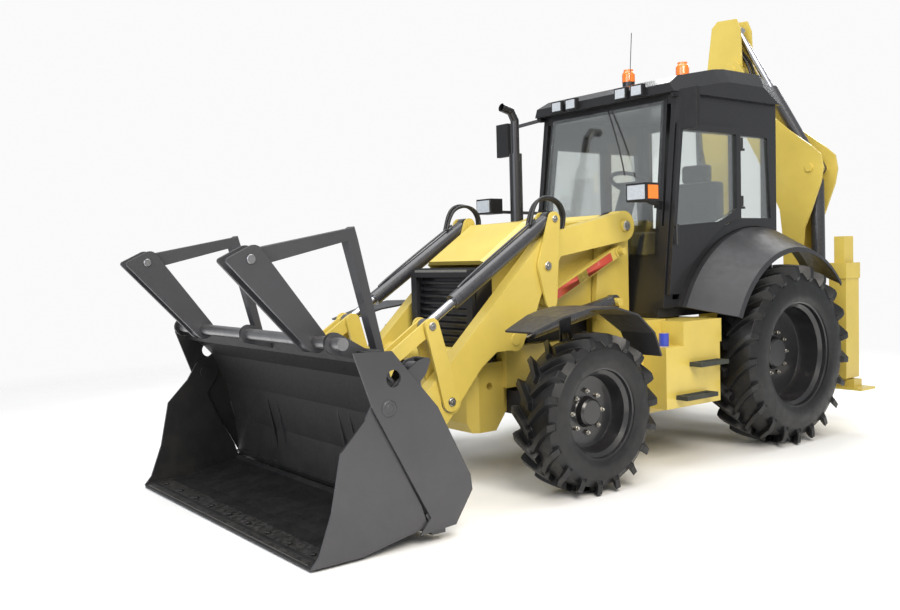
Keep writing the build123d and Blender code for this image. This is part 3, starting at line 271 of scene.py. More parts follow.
def lens(name, code, ribs_mm, glow=0.0, rough=0.12):
    """A lamp's cover: coloured, ribbed and glossy."""
    f = Finish(name)
    wave = f.node("ShaderNodeTexWave", Vector=f.place, Scale=1000.0 / ribs_mm / 6.28)
    colour = f.blend(f.span(f.noise(12, 3), 0.3, 0.7), linear(code),
                     [min(1, c * 1.25) for c in linear(code)[:3]] + [1])
    return f.set(Base_Color=colour, Roughness=f.span(f.noise(20, 3), 0.3, 0.7, rough, rough + 0.08),
                 Normal=f.bump(wave.outputs["Fac"], 0.5), Coat_Weight=1.0, Coat_Roughness=0.03,
                 Emission_Color=linear(code), Emission_Strength=glow)


def cloth(name, code):
    """Woven seat cover."""
    f = Finish(name)
    weave = f.sum("MULTIPLY", f.node("ShaderNodeTexWave", Vector=f.place, Scale=110.0).outputs["Fac"],
                  f.node("ShaderNodeTexWave", {"bands_direction": "Z"}, Vector=f.place,
                         Scale=110.0).outputs["Fac"])
    colour = f.blend(f.span(f.noise(30, 5), 0.35, 0.7), linear(code),
                     [c * 1.6 for c in linear(code)[:3]] + [1])
    return f.set(Base_Color=colour, Roughness=f.span(f.noise(25, 4), 0.3, 0.7, 0.78, 0.95),
                 Normal=f.bump(weave, 0.5), Sheen_Weight=0.25)


yellow = paint("yellow_paint", "d0b958", rough=0.36, coat=0.35, dust=0.05, wear=0.12)
black = paint("black_paint", "18181b", rough=0.38, coat=0.35, dust=0.06, wear=0.15, bare="55544f")
bucket_grey = paint("bucket_paint", "3a3a3d", rough=0.42, coat=0.15, dust=0.04, wear=0.2, peel=0.09)
# the near-black inside colour is painted shade in the bucket's hollow, over the paint's own dust and wear
painted_shade_in_bucket = paint("bucket_inside_painted_shade", "0d0d0e", rough=0.55, coat=0.05, dust=0.05, wear=0.25, peel=0.12)
fork_grey = paint("fork_paint", "38383b", rough=0.45, coat=0.15, dust=0.05, wear=0.3)
barrel_grey = paint("cylinder_paint", "343438", rough=0.3, coat=0.6, dust=0.04, wear=0.15)
rim_black = paint("rim_paint", "19191c", rough=0.34, coat=0.5, dust=0.05, wear=0.2)
strut_red = paint("safety_strut_paint", "b5402c", rough=0.4, coat=0.3, wear=0.4)
cap_blue = paint("filler_cap_plastic", "2f44b8", rough=0.35, coat=0.5, wear=0.05)
fender = moulded("fender_plastic", "29292c", rough=0.42, dust=0.06)
trim = moulded("trim_plastic", "151517", rough=0.45, dust=0.05)
cast = moulded("cast_iron", "26262a", rough=0.6, grain=0.35, grain_mm=5, dust=0.1)
tread = moulded("step_grip", "2b2e29", rough=0.7, grain=0.5, grain_mm=4, dust=0.1)
tyre = rubber("tyre_rubber")
hose_rubber = rubber("hose_rubber", "1a1a1d", rough=0.45, dust=0.15)
chrome = metal("chrome_rod", "d8d8dc", 0.14)
steel = metal("bare_steel", "9a999a", 0.36, brushed_mm=1.2)
zinc = metal("zinc_plate", "b5b2aa", 0.32, brushed_mm=3)
worn_edge = metal("worn_cutting_edge", "6f6d6b", 0.42, brushed_mm=6, smear=0.3)
mirror_glass = metal("mirror_glass", "dfe3e6", 0.03)
window = clear("window_glass", "fdfffe", tint=0.002)
amber = lens("amber_lens", "e0701a", 5, glow=0.12)
clear_lens = lens("clear_lens", "a9afb5", 7)
fabric = cloth("seat_fabric", "222226")

# %% [markdown]
# ## 4. Finishes on the CAD nodes
# A node takes one finish, and then some of its faces take another by a rule about where they lie.

# %%
by_finish = (
    (yellow, ("chassis", "loader_tower", "leg_columns", "side_boxes", "bonnet", "loader_arms",
              "bellcranks", "leveling_links",
              "tilt_levers", "bucket_links", "rear_frame", "stabilizer_left", "stabilizer_right",
              "carriage", "kingpost", "boom", "dipper")),
    (black, ("cab_frame", "cab_roof", "grille", "exhaust", "door_left")),
    (trim, ("cab_interior", "lamps_mirrors")),
    (bucket_grey, ("bucket", "clam", "hoe_bucket", "hoe_lever", "hoe_link")),
    (fork_grey, ("fork_hangers", "fork_tines")),
    (barrel_grey, ("lift_barrels", "tilt_barrels", "clam_barrels", "boom_barrel", "dipper_barrel",
                   "hoe_barrel")),
    (chrome, ("lift_rods", "tilt_rods", "clam_rods", "boom_rod", "dipper_rod", "hoe_rod")),
    (steel, ("lever_pins", "bucket_pins", "link_pins")),
    (fender, ("rear_fenders", "knuckle_left", "knuckle_right")),
    (cast, ("front_axle", "rear_axle", "engine")),
    (tyre, ("wheel_front_left", "wheel_front_right", "wheel_rear_left", "wheel_rear_right")),
    (window, ("cab_glass", "door_left_glass")),
    (fabric, ("operator_seat",)),
)
for finish, names in by_finish:
    for name in names:
        mesh = frame["nodes"][name].data
        mesh.materials.clear()
        mesh.materials.append(finish)
        for face in mesh.polygons:
            face.material_index = 0


def refinish(node, finish, rule):
    """Gives a finish to the faces of a CAD node whose centre and normal pass the rule."""
    mesh = frame["nodes"][node].data
    mesh.materials.append(finish)
    last = len(mesh.materials) - 1
    for face in mesh.polygons:
        if rule(face.center, face.normal):
            face.material_index = last


def from_axis(point, axle):
    """How far a point is from a wheel's axle, which runs along Y."""
    return math.hypot(point.x - axle.x, point.z - axle.z)


def shade_smooth(mesh, degrees=32):
    """Smooth shading on curved faces; creases steeper than the angle stay sharp."""
    work = bmesh.new()
    work.from_mesh(mesh)
    bmesh.ops.remove_doubles(work, verts=work.verts, dist=1e-6)
    limit = math.radians(degrees)
    for face in work.faces:
        face.smooth = True
    for edge in work.edges:
        if len(edge.link_faces) == 2:
            edge.smooth = edge.calc_face_angle(math.pi) < limit
    work.to_mesh(mesh)
    work.free()


for name in ("wheel_front_left", "wheel_front_right", "wheel_rear_left", "wheel_rear_right"):
    low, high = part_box(name)
    axle, radius = (low + high) / 2, (high.z - low.z) / 2
    front = "front" in name
    rim_r = 0.289 / 0.51 * radius if front else 0.405 / 0.695 * radius
    refinish(name, rim_black, lambda c, n, a=axle, r=rim_r: from_axis(c, a) < r - 0.004)

# rods keep their plating between the eyes; the clevises and spacers are painted
for name, finish in (("lift_rods", barrel_grey), ("tilt_rods", steel), ("clam_rods", barrel_grey)):
    low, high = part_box(name)
    refinish(name, finish, lambda c, n, h=high: abs(n.y) > 0.95 or c.x > h.x - 0.08)

cab_low, cab_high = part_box("cab_roof")
side_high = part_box("side_boxes")[1]

# mirrors look back, steps stand out from the boxes, and the filler cap is in the notch ahead
refinish("lamps_mirrors", mirror_glass, lambda c, n: n.x < -0.9 and 2.3 < c.z < 2.7 and abs(c.y) > 0.85)
refinish("side_boxes", tread, lambda c, n: abs(c.y) > side_high.y - 0.098 and c.z < 0.74)
refinish("side_boxes", cap_blue, lambda c, n: 0.81 < abs(c.y) < 0.89 and 0.86 < c.z < 0.95
         and abs(c.x - (side_high.x - 0.20)) < 0.04)
refinish("cab_roof", amber, lambda c, n: c.z > cab_high.z - 0.046)
# the faces inside the bucket and clam take the near-black colour: painted shade
for node in ("bucket", "clam"):
    refinish(node, painted_shade_in_bucket, lambda c, n: n.x > 0.3 and abs(c.y) < 1.15 or n.z > 0.7 or n.y * c.y < -0.5)
shaft = pivot["fork_hanger_turn"]
for node in ("bucket", "fork_hangers"):
    refinish(node, steel, lambda c, n: math.hypot(c.x - shaft.x, c.z - shaft.z) < 0.0325)
# the bonnet's downward faces take black paint: painted shade under it
refinish("bonnet", black, lambda c, n: n.z < -0.9)

for node in frame["nodes"].values():
    for face in node.data.polygons:
        face.use_smooth = True
    node.data.set_sharp_from_angle(angle=math.radians(30))

# %% [markdown]
# ## 5. Shapes and Geometry Nodes
# `Shape` collects faces with their finishes. The trees repeat a piece round an axle or draw a tube
# along a curve, and end in realized instances with their material set.

# %%
# a box's faces, where its corners run over low and high z, then y, then x
BOX_FACES = ((0, 1, 3, 2), (4, 6, 7, 5), (0, 4, 5, 1), (2, 3, 7, 6), (0, 2, 6, 4), (1, 5, 7, 3))


class Shape:
    """Vertices and faces of one new piece, each face with its finish."""

    def __init__(self):
        self.points, self.faces, self.marks, self.finishes = [], [], [], []

    def take(self, points, faces, finish):
        if finish not in self.finishes:
            self.finishes.append(finish)
        start, mark = len(self.points), self.finishes.index(finish)
        self.points += [tuple(p) for p in points]
        self.faces += [[start + i for i in face] for face in faces]
        self.marks += [mark] * len(faces)

    def box(self, low, high, finish):
        points = [(x, y, z) for x in (low[0], high[0]) for y in (low[1], high[1]) for z in (low[2], high[2])]
        self.take(points, BOX_FACES, finish)

    def turned(self, profile, steps, place, finish):
        """A profile of (along, radius) turned about the local Z axis, then placed."""
        rings, faces = [], []
        for along, radius in profile:
            for k in range(steps):
                a = 2 * math.pi * k / steps
                rings.append(place @ Vector((radius * math.cos(a), radius * math.sin(a), along)))
        for i in range(len(profile) - 1):
            for k in range(steps):
                n = (k + 1) % steps
                faces.append((i * steps + k, i * steps + n, (i + 1) * steps + n, (i + 1) * steps + k))
        self.take(rings, faces, finish)

    def pin(self, centre, axis, radius, length, finish, steps=28, chamfer=0.15):
        """A round head with a chamfered rim."""
        turn = Vector(axis).to_track_quat("Z", "Y").to_matrix().to_4x4()
        edge = radius * chamfer
        self.turned([(0, 0.0005), (0, radius), (length - edge, radius), (length, radius - edge),
                     (length, 0.0005)], steps, Matrix.Translation(centre) @ turn, finish)

    def mesh_of(self, mesh, place, finish):
        self.take([place @ v.co for v in mesh.vertices], [list(p.vertices) for p in mesh.polygons], finish)

    def done(self, name, body, degrees=32):
        mesh = bpy.data.meshes.new(name)
        mesh.from_pydata(self.points, [], self.faces)
        for finish in self.finishes:
            mesh.materials.append(finish)
        mesh.polygons.foreach_set("material_index", self.marks)
        work = bmesh.new()
        work.from_mesh(mesh)
        bmesh.ops.recalc_face_normals(work, faces=work.faces)
        work.to_mesh(mesh)
        work.free()
        shade_smooth(mesh, degrees)
        made = bpy.data.objects.new(name, mesh)
        bpy.context.scene.collection.objects.link(made)
        if body:
            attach(made, body)
        return made


def new_tree(name, inputs):
    tree = bpy.data.node_groups.new(name, "GeometryNodeTree")
    tree.is_modifier = True
    tree.interface.new_socket("Geometry", in_out="INPUT", socket_type="NodeSocketGeometry")
    for label, kind in inputs:
        tree.interface.new_socket(label, in_out="INPUT", socket_type=kind)
    tree.interface.new_socket("Geometry", in_out="OUTPUT", socket_type="NodeSocketGeometry")
    return tree, tree.nodes.new("NodeGroupInput"), tree.nodes.new("NodeGroupOutput")


def close_tree(tree, enter, leave, geometry):
    """The common end of every tree: real faces, and their material."""
    real = tree.nodes.new("GeometryNodeRealizeInstances")
    coat = tree.nodes.new("GeometryNodeSetMaterial")
    tree.links.new(geometry, real.inputs[0])
    tree.links.new(real.outputs[0], coat.inputs["Geometry"])
    tree.links.new(enter.outputs["Finish"], coat.inputs["Material"])
    tree.links.new(coat.outputs[0], leave.inputs[0])


def ring_tree():
    tree, enter, leave = new_tree("copies round an axle", (
        ("Piece", "NodeSocketObject"), ("Count", "NodeSocketInt"), ("Radius", "NodeSocketFloat"),
        ("Finish", "NodeSocketMaterial")))
    circle = tree.nodes.new("GeometryNodeMeshCircle")
    copies = tree.nodes.new("GeometryNodeInstanceOnPoints")
    piece = tree.nodes.new("GeometryNodeObjectInfo")
    align = tree.nodes.new("FunctionNodeAlignRotationToVector")
    align.axis = "X"
    place = tree.nodes.new("GeometryNodeInputPosition")
    link = tree.links.new
    link(enter.outputs["Count"], circle.inputs["Vertices"])
    link(enter.outputs["Radius"], circle.inputs["Radius"])
    link(enter.outputs["Piece"], piece.inputs["Object"])
    link(place.outputs[0], align.inputs["Vector"])
    link(circle.outputs[0], copies.inputs["Points"])
    link(piece.outputs["Geometry"], copies.inputs["Instance"])
    link(align.outputs[0], copies.inputs["Rotation"])
    close_tree(tree, enter, leave, copies.outputs[0])
    return tree


def tube_tree():
    tree, enter, leave = new_tree("tube along a curve", (
        ("Radius", "NodeSocketFloat"), ("Finish", "NodeSocketMaterial")))
    ring = tree.nodes.new("GeometryNodeCurvePrimitiveCircle")
    ring.inputs["Resolution"].default_value = 14
    sweep = tree.nodes.new("GeometryNodeCurveToMesh")
    sweep.inputs["Fill Caps"].default_value = True
    link = tree.links.new
    link(enter.outputs["Radius"], ring.inputs["Radius"])
    link(enter.outputs["Geometry"], sweep.inputs["Curve"])
    link(ring.outputs[0], sweep.inputs["Profile Curve"])
    close_tree(tree, enter, leave, sweep.outputs[0])
    return tree


ring_of, tube_of = ring_tree(), tube_tree()


def grown(carrier, tree, **values):
    """The mesh that a tree makes on a carrier, which is then removed."""
    step = carrier.modifiers.new("grow", "NODES")
    step.node_group = tree
    for item in tree.interface.items_tree:
        if item.in_out == "INPUT" and item.name in values:
            step[item.identifier] = values[item.name]
    bpy.context.view_layer.update()
    graph = bpy.context.evaluated_depsgraph_get()
    mesh = bpy.data.meshes.new_from_object(carrier.evaluated_get(graph), depsgraph=graph)
    carrier.modifiers.remove(step)
    bpy.data.objects.remove(carrier)
    return mesh


def carrier_of(data):
    made = bpy.data.objects.new("carrier", data)
    bpy.context.scene.collection.objects.link(made)
    return made


def repeated(shape, finish, tree, **values):
    """Copies of a small Shape, as one mesh."""
    piece = shape.done("piece", None)
    mesh = grown(carrier_of(bpy.data.meshes.new("start")), tree, Piece=piece, Finish=finish, **values)
    bpy.data.objects.remove(piece)
    return mesh


def tube(name, points, radius, finish, body=None, across=None, order=4):
    """A hose or pipe on one smooth curve. across is (body, body, start, end); when it is given the tube is
    left on no body, and what it holds is not used.
    """
    curve = bpy.data.curves.new(name, "CURVE")
    curve.dimensions = "3D"
    spline = curve.splines.new("NURBS")
    spline.points.add(len(points) - 1)
    for knot, point in zip(spline.points, points):
        knot.co = (*point, 1.0)
    spline.order_u = min(order, len(points))
    spline.use_endpoint_u = True
    spline.resolution_u = 12
    mesh = grown(carrier_of(curve), tube_of, Radius=radius, Finish=finish)
    if not mesh.materials:
        mesh.materials.append(finish)
    for face in mesh.polygons:
        face.use_smooth = True
    made = bpy.data.objects.new(name, mesh)
    bpy.context.scene.collection.objects.link(made)
    if across:
        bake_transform(made)
    else:
        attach(made, body)
    return made


# %% [markdown]
# ## 6. Wheels
# The CAD wheel is plain and reaches out to the tips of the lugs. The piece that stands for it has
# the carcass under them, two rows of slanted lugs half a pitch apart, a dished rim and its nuts.

# %%
# name, half width, rim radius, disc place, cap radius, cap height, lugs a row, lug height, nuts
wheels = (
    ("wheel_front_left", 0.167, 0.289, -0.020, 0.095, 0.070, 18, 0.042, 8),
    ("wheel_front_right", 0.167, 0.289, -0.020, 0.095, 0.070, 18, 0.042, 8),
    ("wheel_rear_left", 0.215, 0.405, -0.060, 0.125, 0.060, 21, 0.050, 10),
    ("wheel_rear_right", 0.215, 0.405, -0.060, 0.125, 0.060, 21, 0.050, 10),
)
# across (share of the half width), top (share of the radius), share of the lug height, sweep share
lug_stations = ((0.02, 0.999, 1.0, 0.0), (0.18, 0.999, 1.0, 0.20), (0.38, 0.998, 1.0, 0.44),
                (0.62, 0.994, 1.0, 0.70), (0.82, 0.989, 1.4, 0.88), (0.95, 0.976, 2.1, 0.98),
                (0.985, 0.920, 1.6, 1.0), (0.992, 0.860, 0.4, 1.0))


def lug(radius, half, height, sweep, side):
    """One slanted bar from the middle of the tread, over the shoulder and down the wall."""
    shape, points, faces = Shape(), [], []
    for across, top, deep, turn in lug_stations:
        middle, outer = sweep * turn, top * radius
        inner = outer - height * deep - 0.012
        wall = max(0.0, (across - 0.85) / 0.15)
        for share, r, wide in ((-1, inner, 0.034), (-1, outer, 0.021), (1, outer, 0.021), (1, inner, 0.034)):
            a = middle + share * wide / radius
            reach = across * half - (wall * 0.02 if r == inner else 0.0)
            points.append((r * math.cos(a), r * math.sin(a), side * reach))
    for i in range(len(lug_stations) - 1):
        for k in range(4):
            n = (k + 1) % 4
            faces.append((4 * i + k, 4 * i + n, 4 * i + 4 + n, 4 * i + 4 + k))
    last = 4 * (len(lug_stations) - 1)
    faces += [(3, 2, 1, 0), (last, last + 1, last + 2, last + 3)]
    shape.take(points, faces, tyre)
    return shape


for name, half, rim, disc, cap_r, cap_h, lugs, height, nuts in wheels:
    low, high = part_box(name)
    centre, radius = (low + high) / 2, (high.z - low.z) / 2
    left = centre.y > 0
    turn = Matrix.Rotation(math.radians(-90 if left else 90), 4, "X")
    place = Matrix.Translation(centre) @ turn
    wheel = Shape()
    under = radius - height
    wheel.turned([(-0.88 * half, rim), (-0.97 * half, 0.66 * radius), (-0.95 * half, 0.80 * radius),
                  (-0.90 * half, 0.90 * under), (-0.78 * half, 0.972 * under), (-0.4 * half, 0.995 * under),
                  (0, under), (0.4 * half, 0.995 * under), (0.78 * half, 0.972 * under),
                  (0.90 * half, 0.90 * under), (0.95 * half, 0.80 * radius), (0.97 * half, 0.66 * radius),
                  (0.93 * half, rim + 0.022), (0.88 * half, rim)], 96, place, tyre)
    wheel.turned([(-0.88 * half, rim + 0.003), (-0.9 * half, rim + 0.018), (-0.86 * half, rim + 0.02),
                  (-0.8 * half, rim - 0.046), (disc, rim - 0.058), (disc, 0.001)], 96, place, rim_black)
    wheel.turned([(0.87 * half, rim), (0.9 * half, rim + 0.018), (0.88 * half, rim + 0.022),
                  (0.85 * half, rim + 0.006), (0.8 * half, rim - 0.010), (0.66 * half, rim - 0.014),
                  (0.55 * half, rim - 0.04), (disc + 0.05, rim - 0.046), (disc + 0.02, rim - 0.06),
                  (disc + 0.014, rim - 0.09), (disc + 0.014, cap_r + 0.006), (disc + 0.02, cap_r),
                  (disc + cap_h - 0.012, cap_r - 0.006), (disc + cap_h, cap_r - 0.02),
                  (disc + cap_h, 0.001)], 96, place, rim_black)
    sweep = (-1 if left else 1) * 0.30
    pitch = 2 * math.pi / lugs
    for side, shift in ((1, 0.0), (-1, pitch / 2)):
        bars = repeated(lug(radius, half, height, sweep, side), tyre, ring_of, Count=lugs, Radius=0.0001)
        wheel.mesh_of(bars, place @ Matrix.Rotation(shift, 4, "Z"), tyre)
    nut = Shape()
    nut.pin(Vector((0, 0, 0)), (0, 0, 1), 0.0165, 0.018, zinc, steps=6, chamfer=0.08)
    nut.pin(Vector((0, 0, 0.018)), (0, 0, 1), 0.009, 0.014, zinc, steps=14)
    row = repeated(nut, zinc, ring_of, Count=nuts, Radius=cap_r + 0.038)
    wheel.mesh_of(row, place @ Matrix.Translation((0, 0, disc + 0.0145)), zinc)
    dressed = wheel.done(name + "_dressed", name, 28)
    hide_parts(name)

# %% [markdown]
# ## 7. Seat
# The CAD seat is two plain blocks. The padded one keeps their box, with rounded bolsters.

# %%
low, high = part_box("operator_seat")
seat_mesh = bpy.data.meshes.new("seat_padded")
work = bmesh.new()
span = high - low
# share of the box: x from, x to, y from, y to, z from, z to
for x0, x1, y0, y1, z0, z1 in ((0.02, 1.0, 0.0, 1.0, 0.0, 0.26), (0.0, 0.24, 0.03, 0.97, 0.2, 0.80),
                               (0.02, 0.2, 0.25, 0.75, 0.80, 1.0)):
    made = bmesh.ops.create_cube(work, size=1.0)["verts"]
    for v in made:
        share = (x0 if v.co.x < 0 else x1, y0 if v.co.y < 0 else y1, z0 if v.co.z < 0 else z1)
        v.co = low + Vector(part * size for part, size in zip(share, span))
bmesh.ops.bevel(work, geom=list(work.edges), offset=0.035, segments=5, profile=0.6, affect="EDGES")
work.to_mesh(seat_mesh)
work.free()
shade_smooth(seat_mesh, 50)
seat_mesh.materials.append(fabric)
seat = bpy.data.objects.new("seat_padded", seat_mesh)
bpy.context.scene.collection.objects.link(seat)
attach(seat, "machine")
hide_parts("operator_seat")

# %% [markdown]
# ## 8. Pin heads, cutting edge and bolts
# Heads sit on the outer ends of the pins, with a hexagon in the middle of each.

# %%
def top_centre(node, inset):
    """The middle of the round top end of a node's plates."""
    co = corners(node)
    top = co[:, 2].max()
    near = co[co[:, 2] > top - 0.004]
    return Vector((float(near[:, 0].mean()), 0.0, float(top - inset)))


lever_top = top_centre("tilt_levers", 0.052)
# body, pivot point, node whose outer face it lies on, radius of the head
heads = (("machine", pivot["loader_raise"], "loader_tower", 0.036),
         ("loader_arms", pivot["bellcrank_turn"], "loader_arms", 0.030),
         ("lever_pins", pivot["lever_pin_turn"], "lever_pins", 0.026),
         ("bucket_pins", pivot["bucket_pin_turn"], "bucket_pins", 0.028),
         ("link_pins", pivot["link_pin_turn"], "link_pins", 0.024),
         ("bellcranks", pivot["tilt_barrel_turn"], "bellcranks", 0.024),
         ("tilt_levers", lever_top, "tilt_levers", 0.027))
for body, point, node, radius in heads:
    low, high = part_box(node)
    shape = Shape()
    for s in (1, -1):
        face = high.y if s > 0 else low.y
        centre = Vector((point.x, face - s * 0.001, point.z))
        shape.pin(centre, (0, s, 0), radius, 0.008, zinc)
        shape.pin(centre + Vector((0, s * 0.008, 0)), (0, s, 0), radius * 0.42, 0.006, steel, steps=6)
    shape.done("pin_heads_" + node, body)

# the clam's pivots on the bucket's sides, and the fork tines' pins on their hangers
low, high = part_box("bucket")
shape = Shape()
for s in (1, -1):
    centre = Vector((pivot["clam_open"].x, (high.y if s > 0 else low.y) - s * 0.001, pivot["clam_open"].z))
    shape.pin(centre, (0, s, 0), 0.044, 0.010, bucket_grey)
    shape.pin(centre + Vector((0, s * 0.010, 0)), (0, s, 0), 0.024, 0.004, bucket_grey)
shape.done("clam_pin_heads", "bucket")
tine_pin = pivot["fork_tine_turn"]
around = corners("fork_hangers")
around = around[np.hypot(around[:, 0] - tine_pin.x, around[:, 2] - tine_pin.z) < 0.09]
shape = Shape()
for s in (1, -1):
    group = around[around[:, 1] * s > 0]
    for outward, y in ((1, group[:, 1].max()), (-1, group[:, 1].min())):
        shape.pin((tine_pin.x, y - outward * 0.001, tine_pin.z), (0, outward, 0), 0.024, 0.007, steel)
shape.done("tine_pin_heads", "fork_hangers")

# bolt-on cutting edge: a strip and its plough bolts, laid on the clam's floor behind the lip
clam = frame["nodes"]["clam"]
low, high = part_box("clam")


def floor_of_clam(x, y):
    """The top of the clam's floor under a point."""
    return clam.ray_cast(Vector((x, y, high.z + 0.1)), DOWN)[1]


edge, bolts = Shape(), Shape()
ends = [floor_of_clam(x, y) for x in (high.x - 0.17, high.x - 0.012) for y in (low.y + 0.06, high.y - 0.06)]
edge.take([at(p, z=lift) for lift in (-0.001, 0.007) for p in ends],
          [(4, 5, 7, 6), (0, 1, 5, 4), (2, 6, 7, 3), (0, 4, 6, 2), (1, 3, 7, 5)], worn_edge)
edge.done("cutting_edge", "clam")
bolt_count = 9
for k in range(bolt_count):
    y = low.y + 0.16 + k * (high.y - low.y - 0.32) / (bolt_count - 1)
    seat_of_bolt = at(floor_of_clam(high.x - 0.10, y), z=0.006)
    # the bolt heads take the same near-black colour, painted shade on the clam's floor
    bolts.pin(seat_of_bolt, UP, 0.017, 0.006, painted_shade_in_bucket, steps=18, chamfer=0.3)
bolts.done("edge_bolts", "clam")

# %% [markdown]
# ## 9. Hoses and pipes
# Two hoses a side run from the tower to the arm, two more loop over each bellcrank to its tilt
# barrel, and a pair crosses the hoe's elbow.

# %%
arm_hose_r, elbow_hose_r, pipe_r = 0.0115, 0.0125, 0.008
arm = pivot["loader_raise"]
beside_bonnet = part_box("bonnet")[1].y + 0.018
for s, side in ((1, "left"), (-1, "right")):
    for k in range(2):
        y = s * (beside_bonnet + 0.024 * (1 - k))
        tube("arm_hose_%s_%d" % (side, k),
             [at(arm, -0.16, y, -0.30), at(arm, -0.20, y, -0.10 - 0.03 * k),
              at(arm, -0.10, y, 0.10 + 0.02 * k), at(arm, 0.08, y, 0.08 + 0.02 * k),
              at(arm, 0.24, y, -0.02), at(arm, 0.42, y, -0.05)],
             arm_hose_r, hose_rubber,
             across=("machine", "loader_arms", at(arm, -0.15, y, 0), at(arm, 0.2, y, 0)))
    # hard line on top of the tilt barrel, between its base and gland
    base, rod = pivot["tilt_barrel_turn"], lever_top
    along = (rod - Vector((base.x, 0, base.z))).normalized()
    over = Vector((-along.z, 0, along.x)) * (1 if along.x > 0 else -1)
    start = Vector((base.x, s * 0.46, base.z)) + over * 0.062
    tube("tilt_line_" + side, [start + along * 0.10, start + along * 0.14 + over * 0.004,
                               start + along * 0.84 + over * 0.004, start + along * 0.90 - over * 0.010],
         pipe_r, barrel_grey, body="tilt_barrels")
    # a pair of hoses loops from the bellcrank over its top pin to the barrel
    for k in range(2):
        root = Vector((base.x, s * (0.445 + 0.03 * k), base.z))
        tube("crank_hose_%s_%d" % (side, k),
             [root + along * 0.17 + over * 0.058, root + along * 0.12 + over * 0.10,
              root + along * 0.02 + over * (0.19 + 0.02 * k), at(root, -0.13, 0, 0.15),
              at(root, -0.17, 0, 0.0), at(root, -0.10, 0, -0.12)],
             arm_hose_r, hose_rubber,
             across=("tilt_barrels", "bellcranks", root + along * 0.10, at(root, -0.12, 0, 0)))

elbow = pivot["dipper_unfold"]
for k, x in enumerate((-0.03, 0.03)):
    tube("elbow_hose_%d" % k,
         [at(elbow, x, 0.20, -0.42), at(elbow, x, 0.16, -0.24), at(elbow, x, 0.15, -0.05),
          at(elbow, x, 0.08, 0.12), at(elbow, x, -0.02, 0.20), at(elbow, x, -0.03, 0.30)],
         elbow_hose_r, hose_rubber,
         across=("boom", "dipper", at(elbow, x, 0.15, -0.15), at(elbow, x, 0, 0.15)))

# %% [markdown]
# ## 10. Trim of the cab and bonnet
# The grille's surround and bar, a wiper, lamp lenses, beacon domes, work lamps, an antenna, and the
# red strut along a levelling link.

# %%
low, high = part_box("grille")
trim_shape = Shape()
face = high.x
# low y, high y, low z, high z as shares of the grille's box
for y0, y1, z0, z1 in ((0.0, 0.09, 0.0, 0.97), (0.91, 1.0, 0.0, 0.97), (0.09, 0.91, 0.9, 0.97)):
    trim_shape.box((face - 0.03, low.y + (high.y - low.y) * y0, low.z + (high.z - low.z) * z0),
                   (face - 0.001, low.y + (high.y - low.y) * y1, low.z + (high.z - low.z) * z1), trim)
trim_shape.done("grille_surround", "bonnet")
bar = Shape()
bar.box((face - 0.04, low.y + 0.05, high.z - 0.028), (face - 0.0005, high.y - 0.05, high.z - 0.012), zinc)
bar.done("grille_bar", "bonnet")

glass_low, glass_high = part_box("cab_glass")
tube("front_wiper",
     [(glass_high.x - 0.02, 0.30, glass_low.z + 0.62), (glass_high.x - 0.06, 0.22, glass_low.z + 0.85),
      (glass_high.x - 0.12, 0.05, glass_low.z + 1.15)], 0.006, trim, body="machine", order=3)

low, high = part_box("lamps_mirrors")
lamp_points = corners("lamps_mirrors")
for s, side in ((1, "left"), (-1, "right")):
    body = lamp_points[(lamp_points[:, 0] > high.x - 0.131) & (lamp_points[:, 1] * s > 0)]
    near, far = Vector(body.min(axis=0)), Vector(body.max(axis=0))
    lamp = Shape()
    lamp.box((far.x - 0.001, near.y + 0.014, near.z + 0.014),
             (far.x + 0.006, far.y - 0.014, far.z - 0.014), clear_lens)
    outer = far.y if s > 0 else near.y
    lamp.box((near.x + 0.015, min(outer - s * 0.001, outer + s * 0.006), near.z + 0.016),
             (far.x - 0.015, max(outer - s * 0.001, outer + s * 0.006), far.z - 0.016), amber)
    lamp.done("headlamp_lenses_" + side, "machine")

# amber domes over the beacons' stems: foot under the stem's top, radius, wall and crown
beacon_drop, beacon_r, beacon_wall, beacon_crown = 0.098, 0.0505, 0.055, 0.0425
roof_points = corners("cab_roof")
tips = roof_points[roof_points[:, 2] > cab_high.z - 0.001]
parting = tips[:, 0].mean()
beacons = Shape()
for group in (tips[tips[:, 0] < parting], tips[tips[:, 0] > parting]):
    centre = Matrix.Translation((group[:, 0].mean(), group[:, 1].mean(), cab_high.z - beacon_drop))
    dome = [(0.0, beacon_r), (beacon_wall, beacon_r)]
    dome += [(beacon_wall + beacon_crown * math.sin(a), beacon_r * math.cos(a) + 0.0005)
             for a in (math.radians(15 * k) for k in range(1, 7))]
    beacons.turned(dome, 40, centre, amber)
beacons.done("beacon_domes", "machine")

# work lamps under the roof's front edge, in two pairs
lamp = Shape()
face = cab_high.x
for y in (-0.44, -0.28, 0.25, 0.41):
    # back, front, half width, bottom and top over the roof's lower edge, finish
    for x0, x1, half, z0, z1, finish in ((-0.012, 0.028, 0.058, 0.006, 0.094, trim),
                                         (0.027, 0.031, 0.047, 0.016, 0.084, clear_lens)):
        lamp.box((face + x0, y - half, cab_low.z + z0), (face + x1, y + half, cab_low.z + z1), finish)
lamp.done("work_lamps", "machine")
tube("antenna", [(cab_high.x - 0.12, 0.22, cab_high.z - 0.16), (cab_high.x - 0.13, 0.22, cab_high.z),
                 (cab_high.x - 0.15, 0.22, cab_high.z + 0.25)], 0.003, trim, body="machine", order=3)

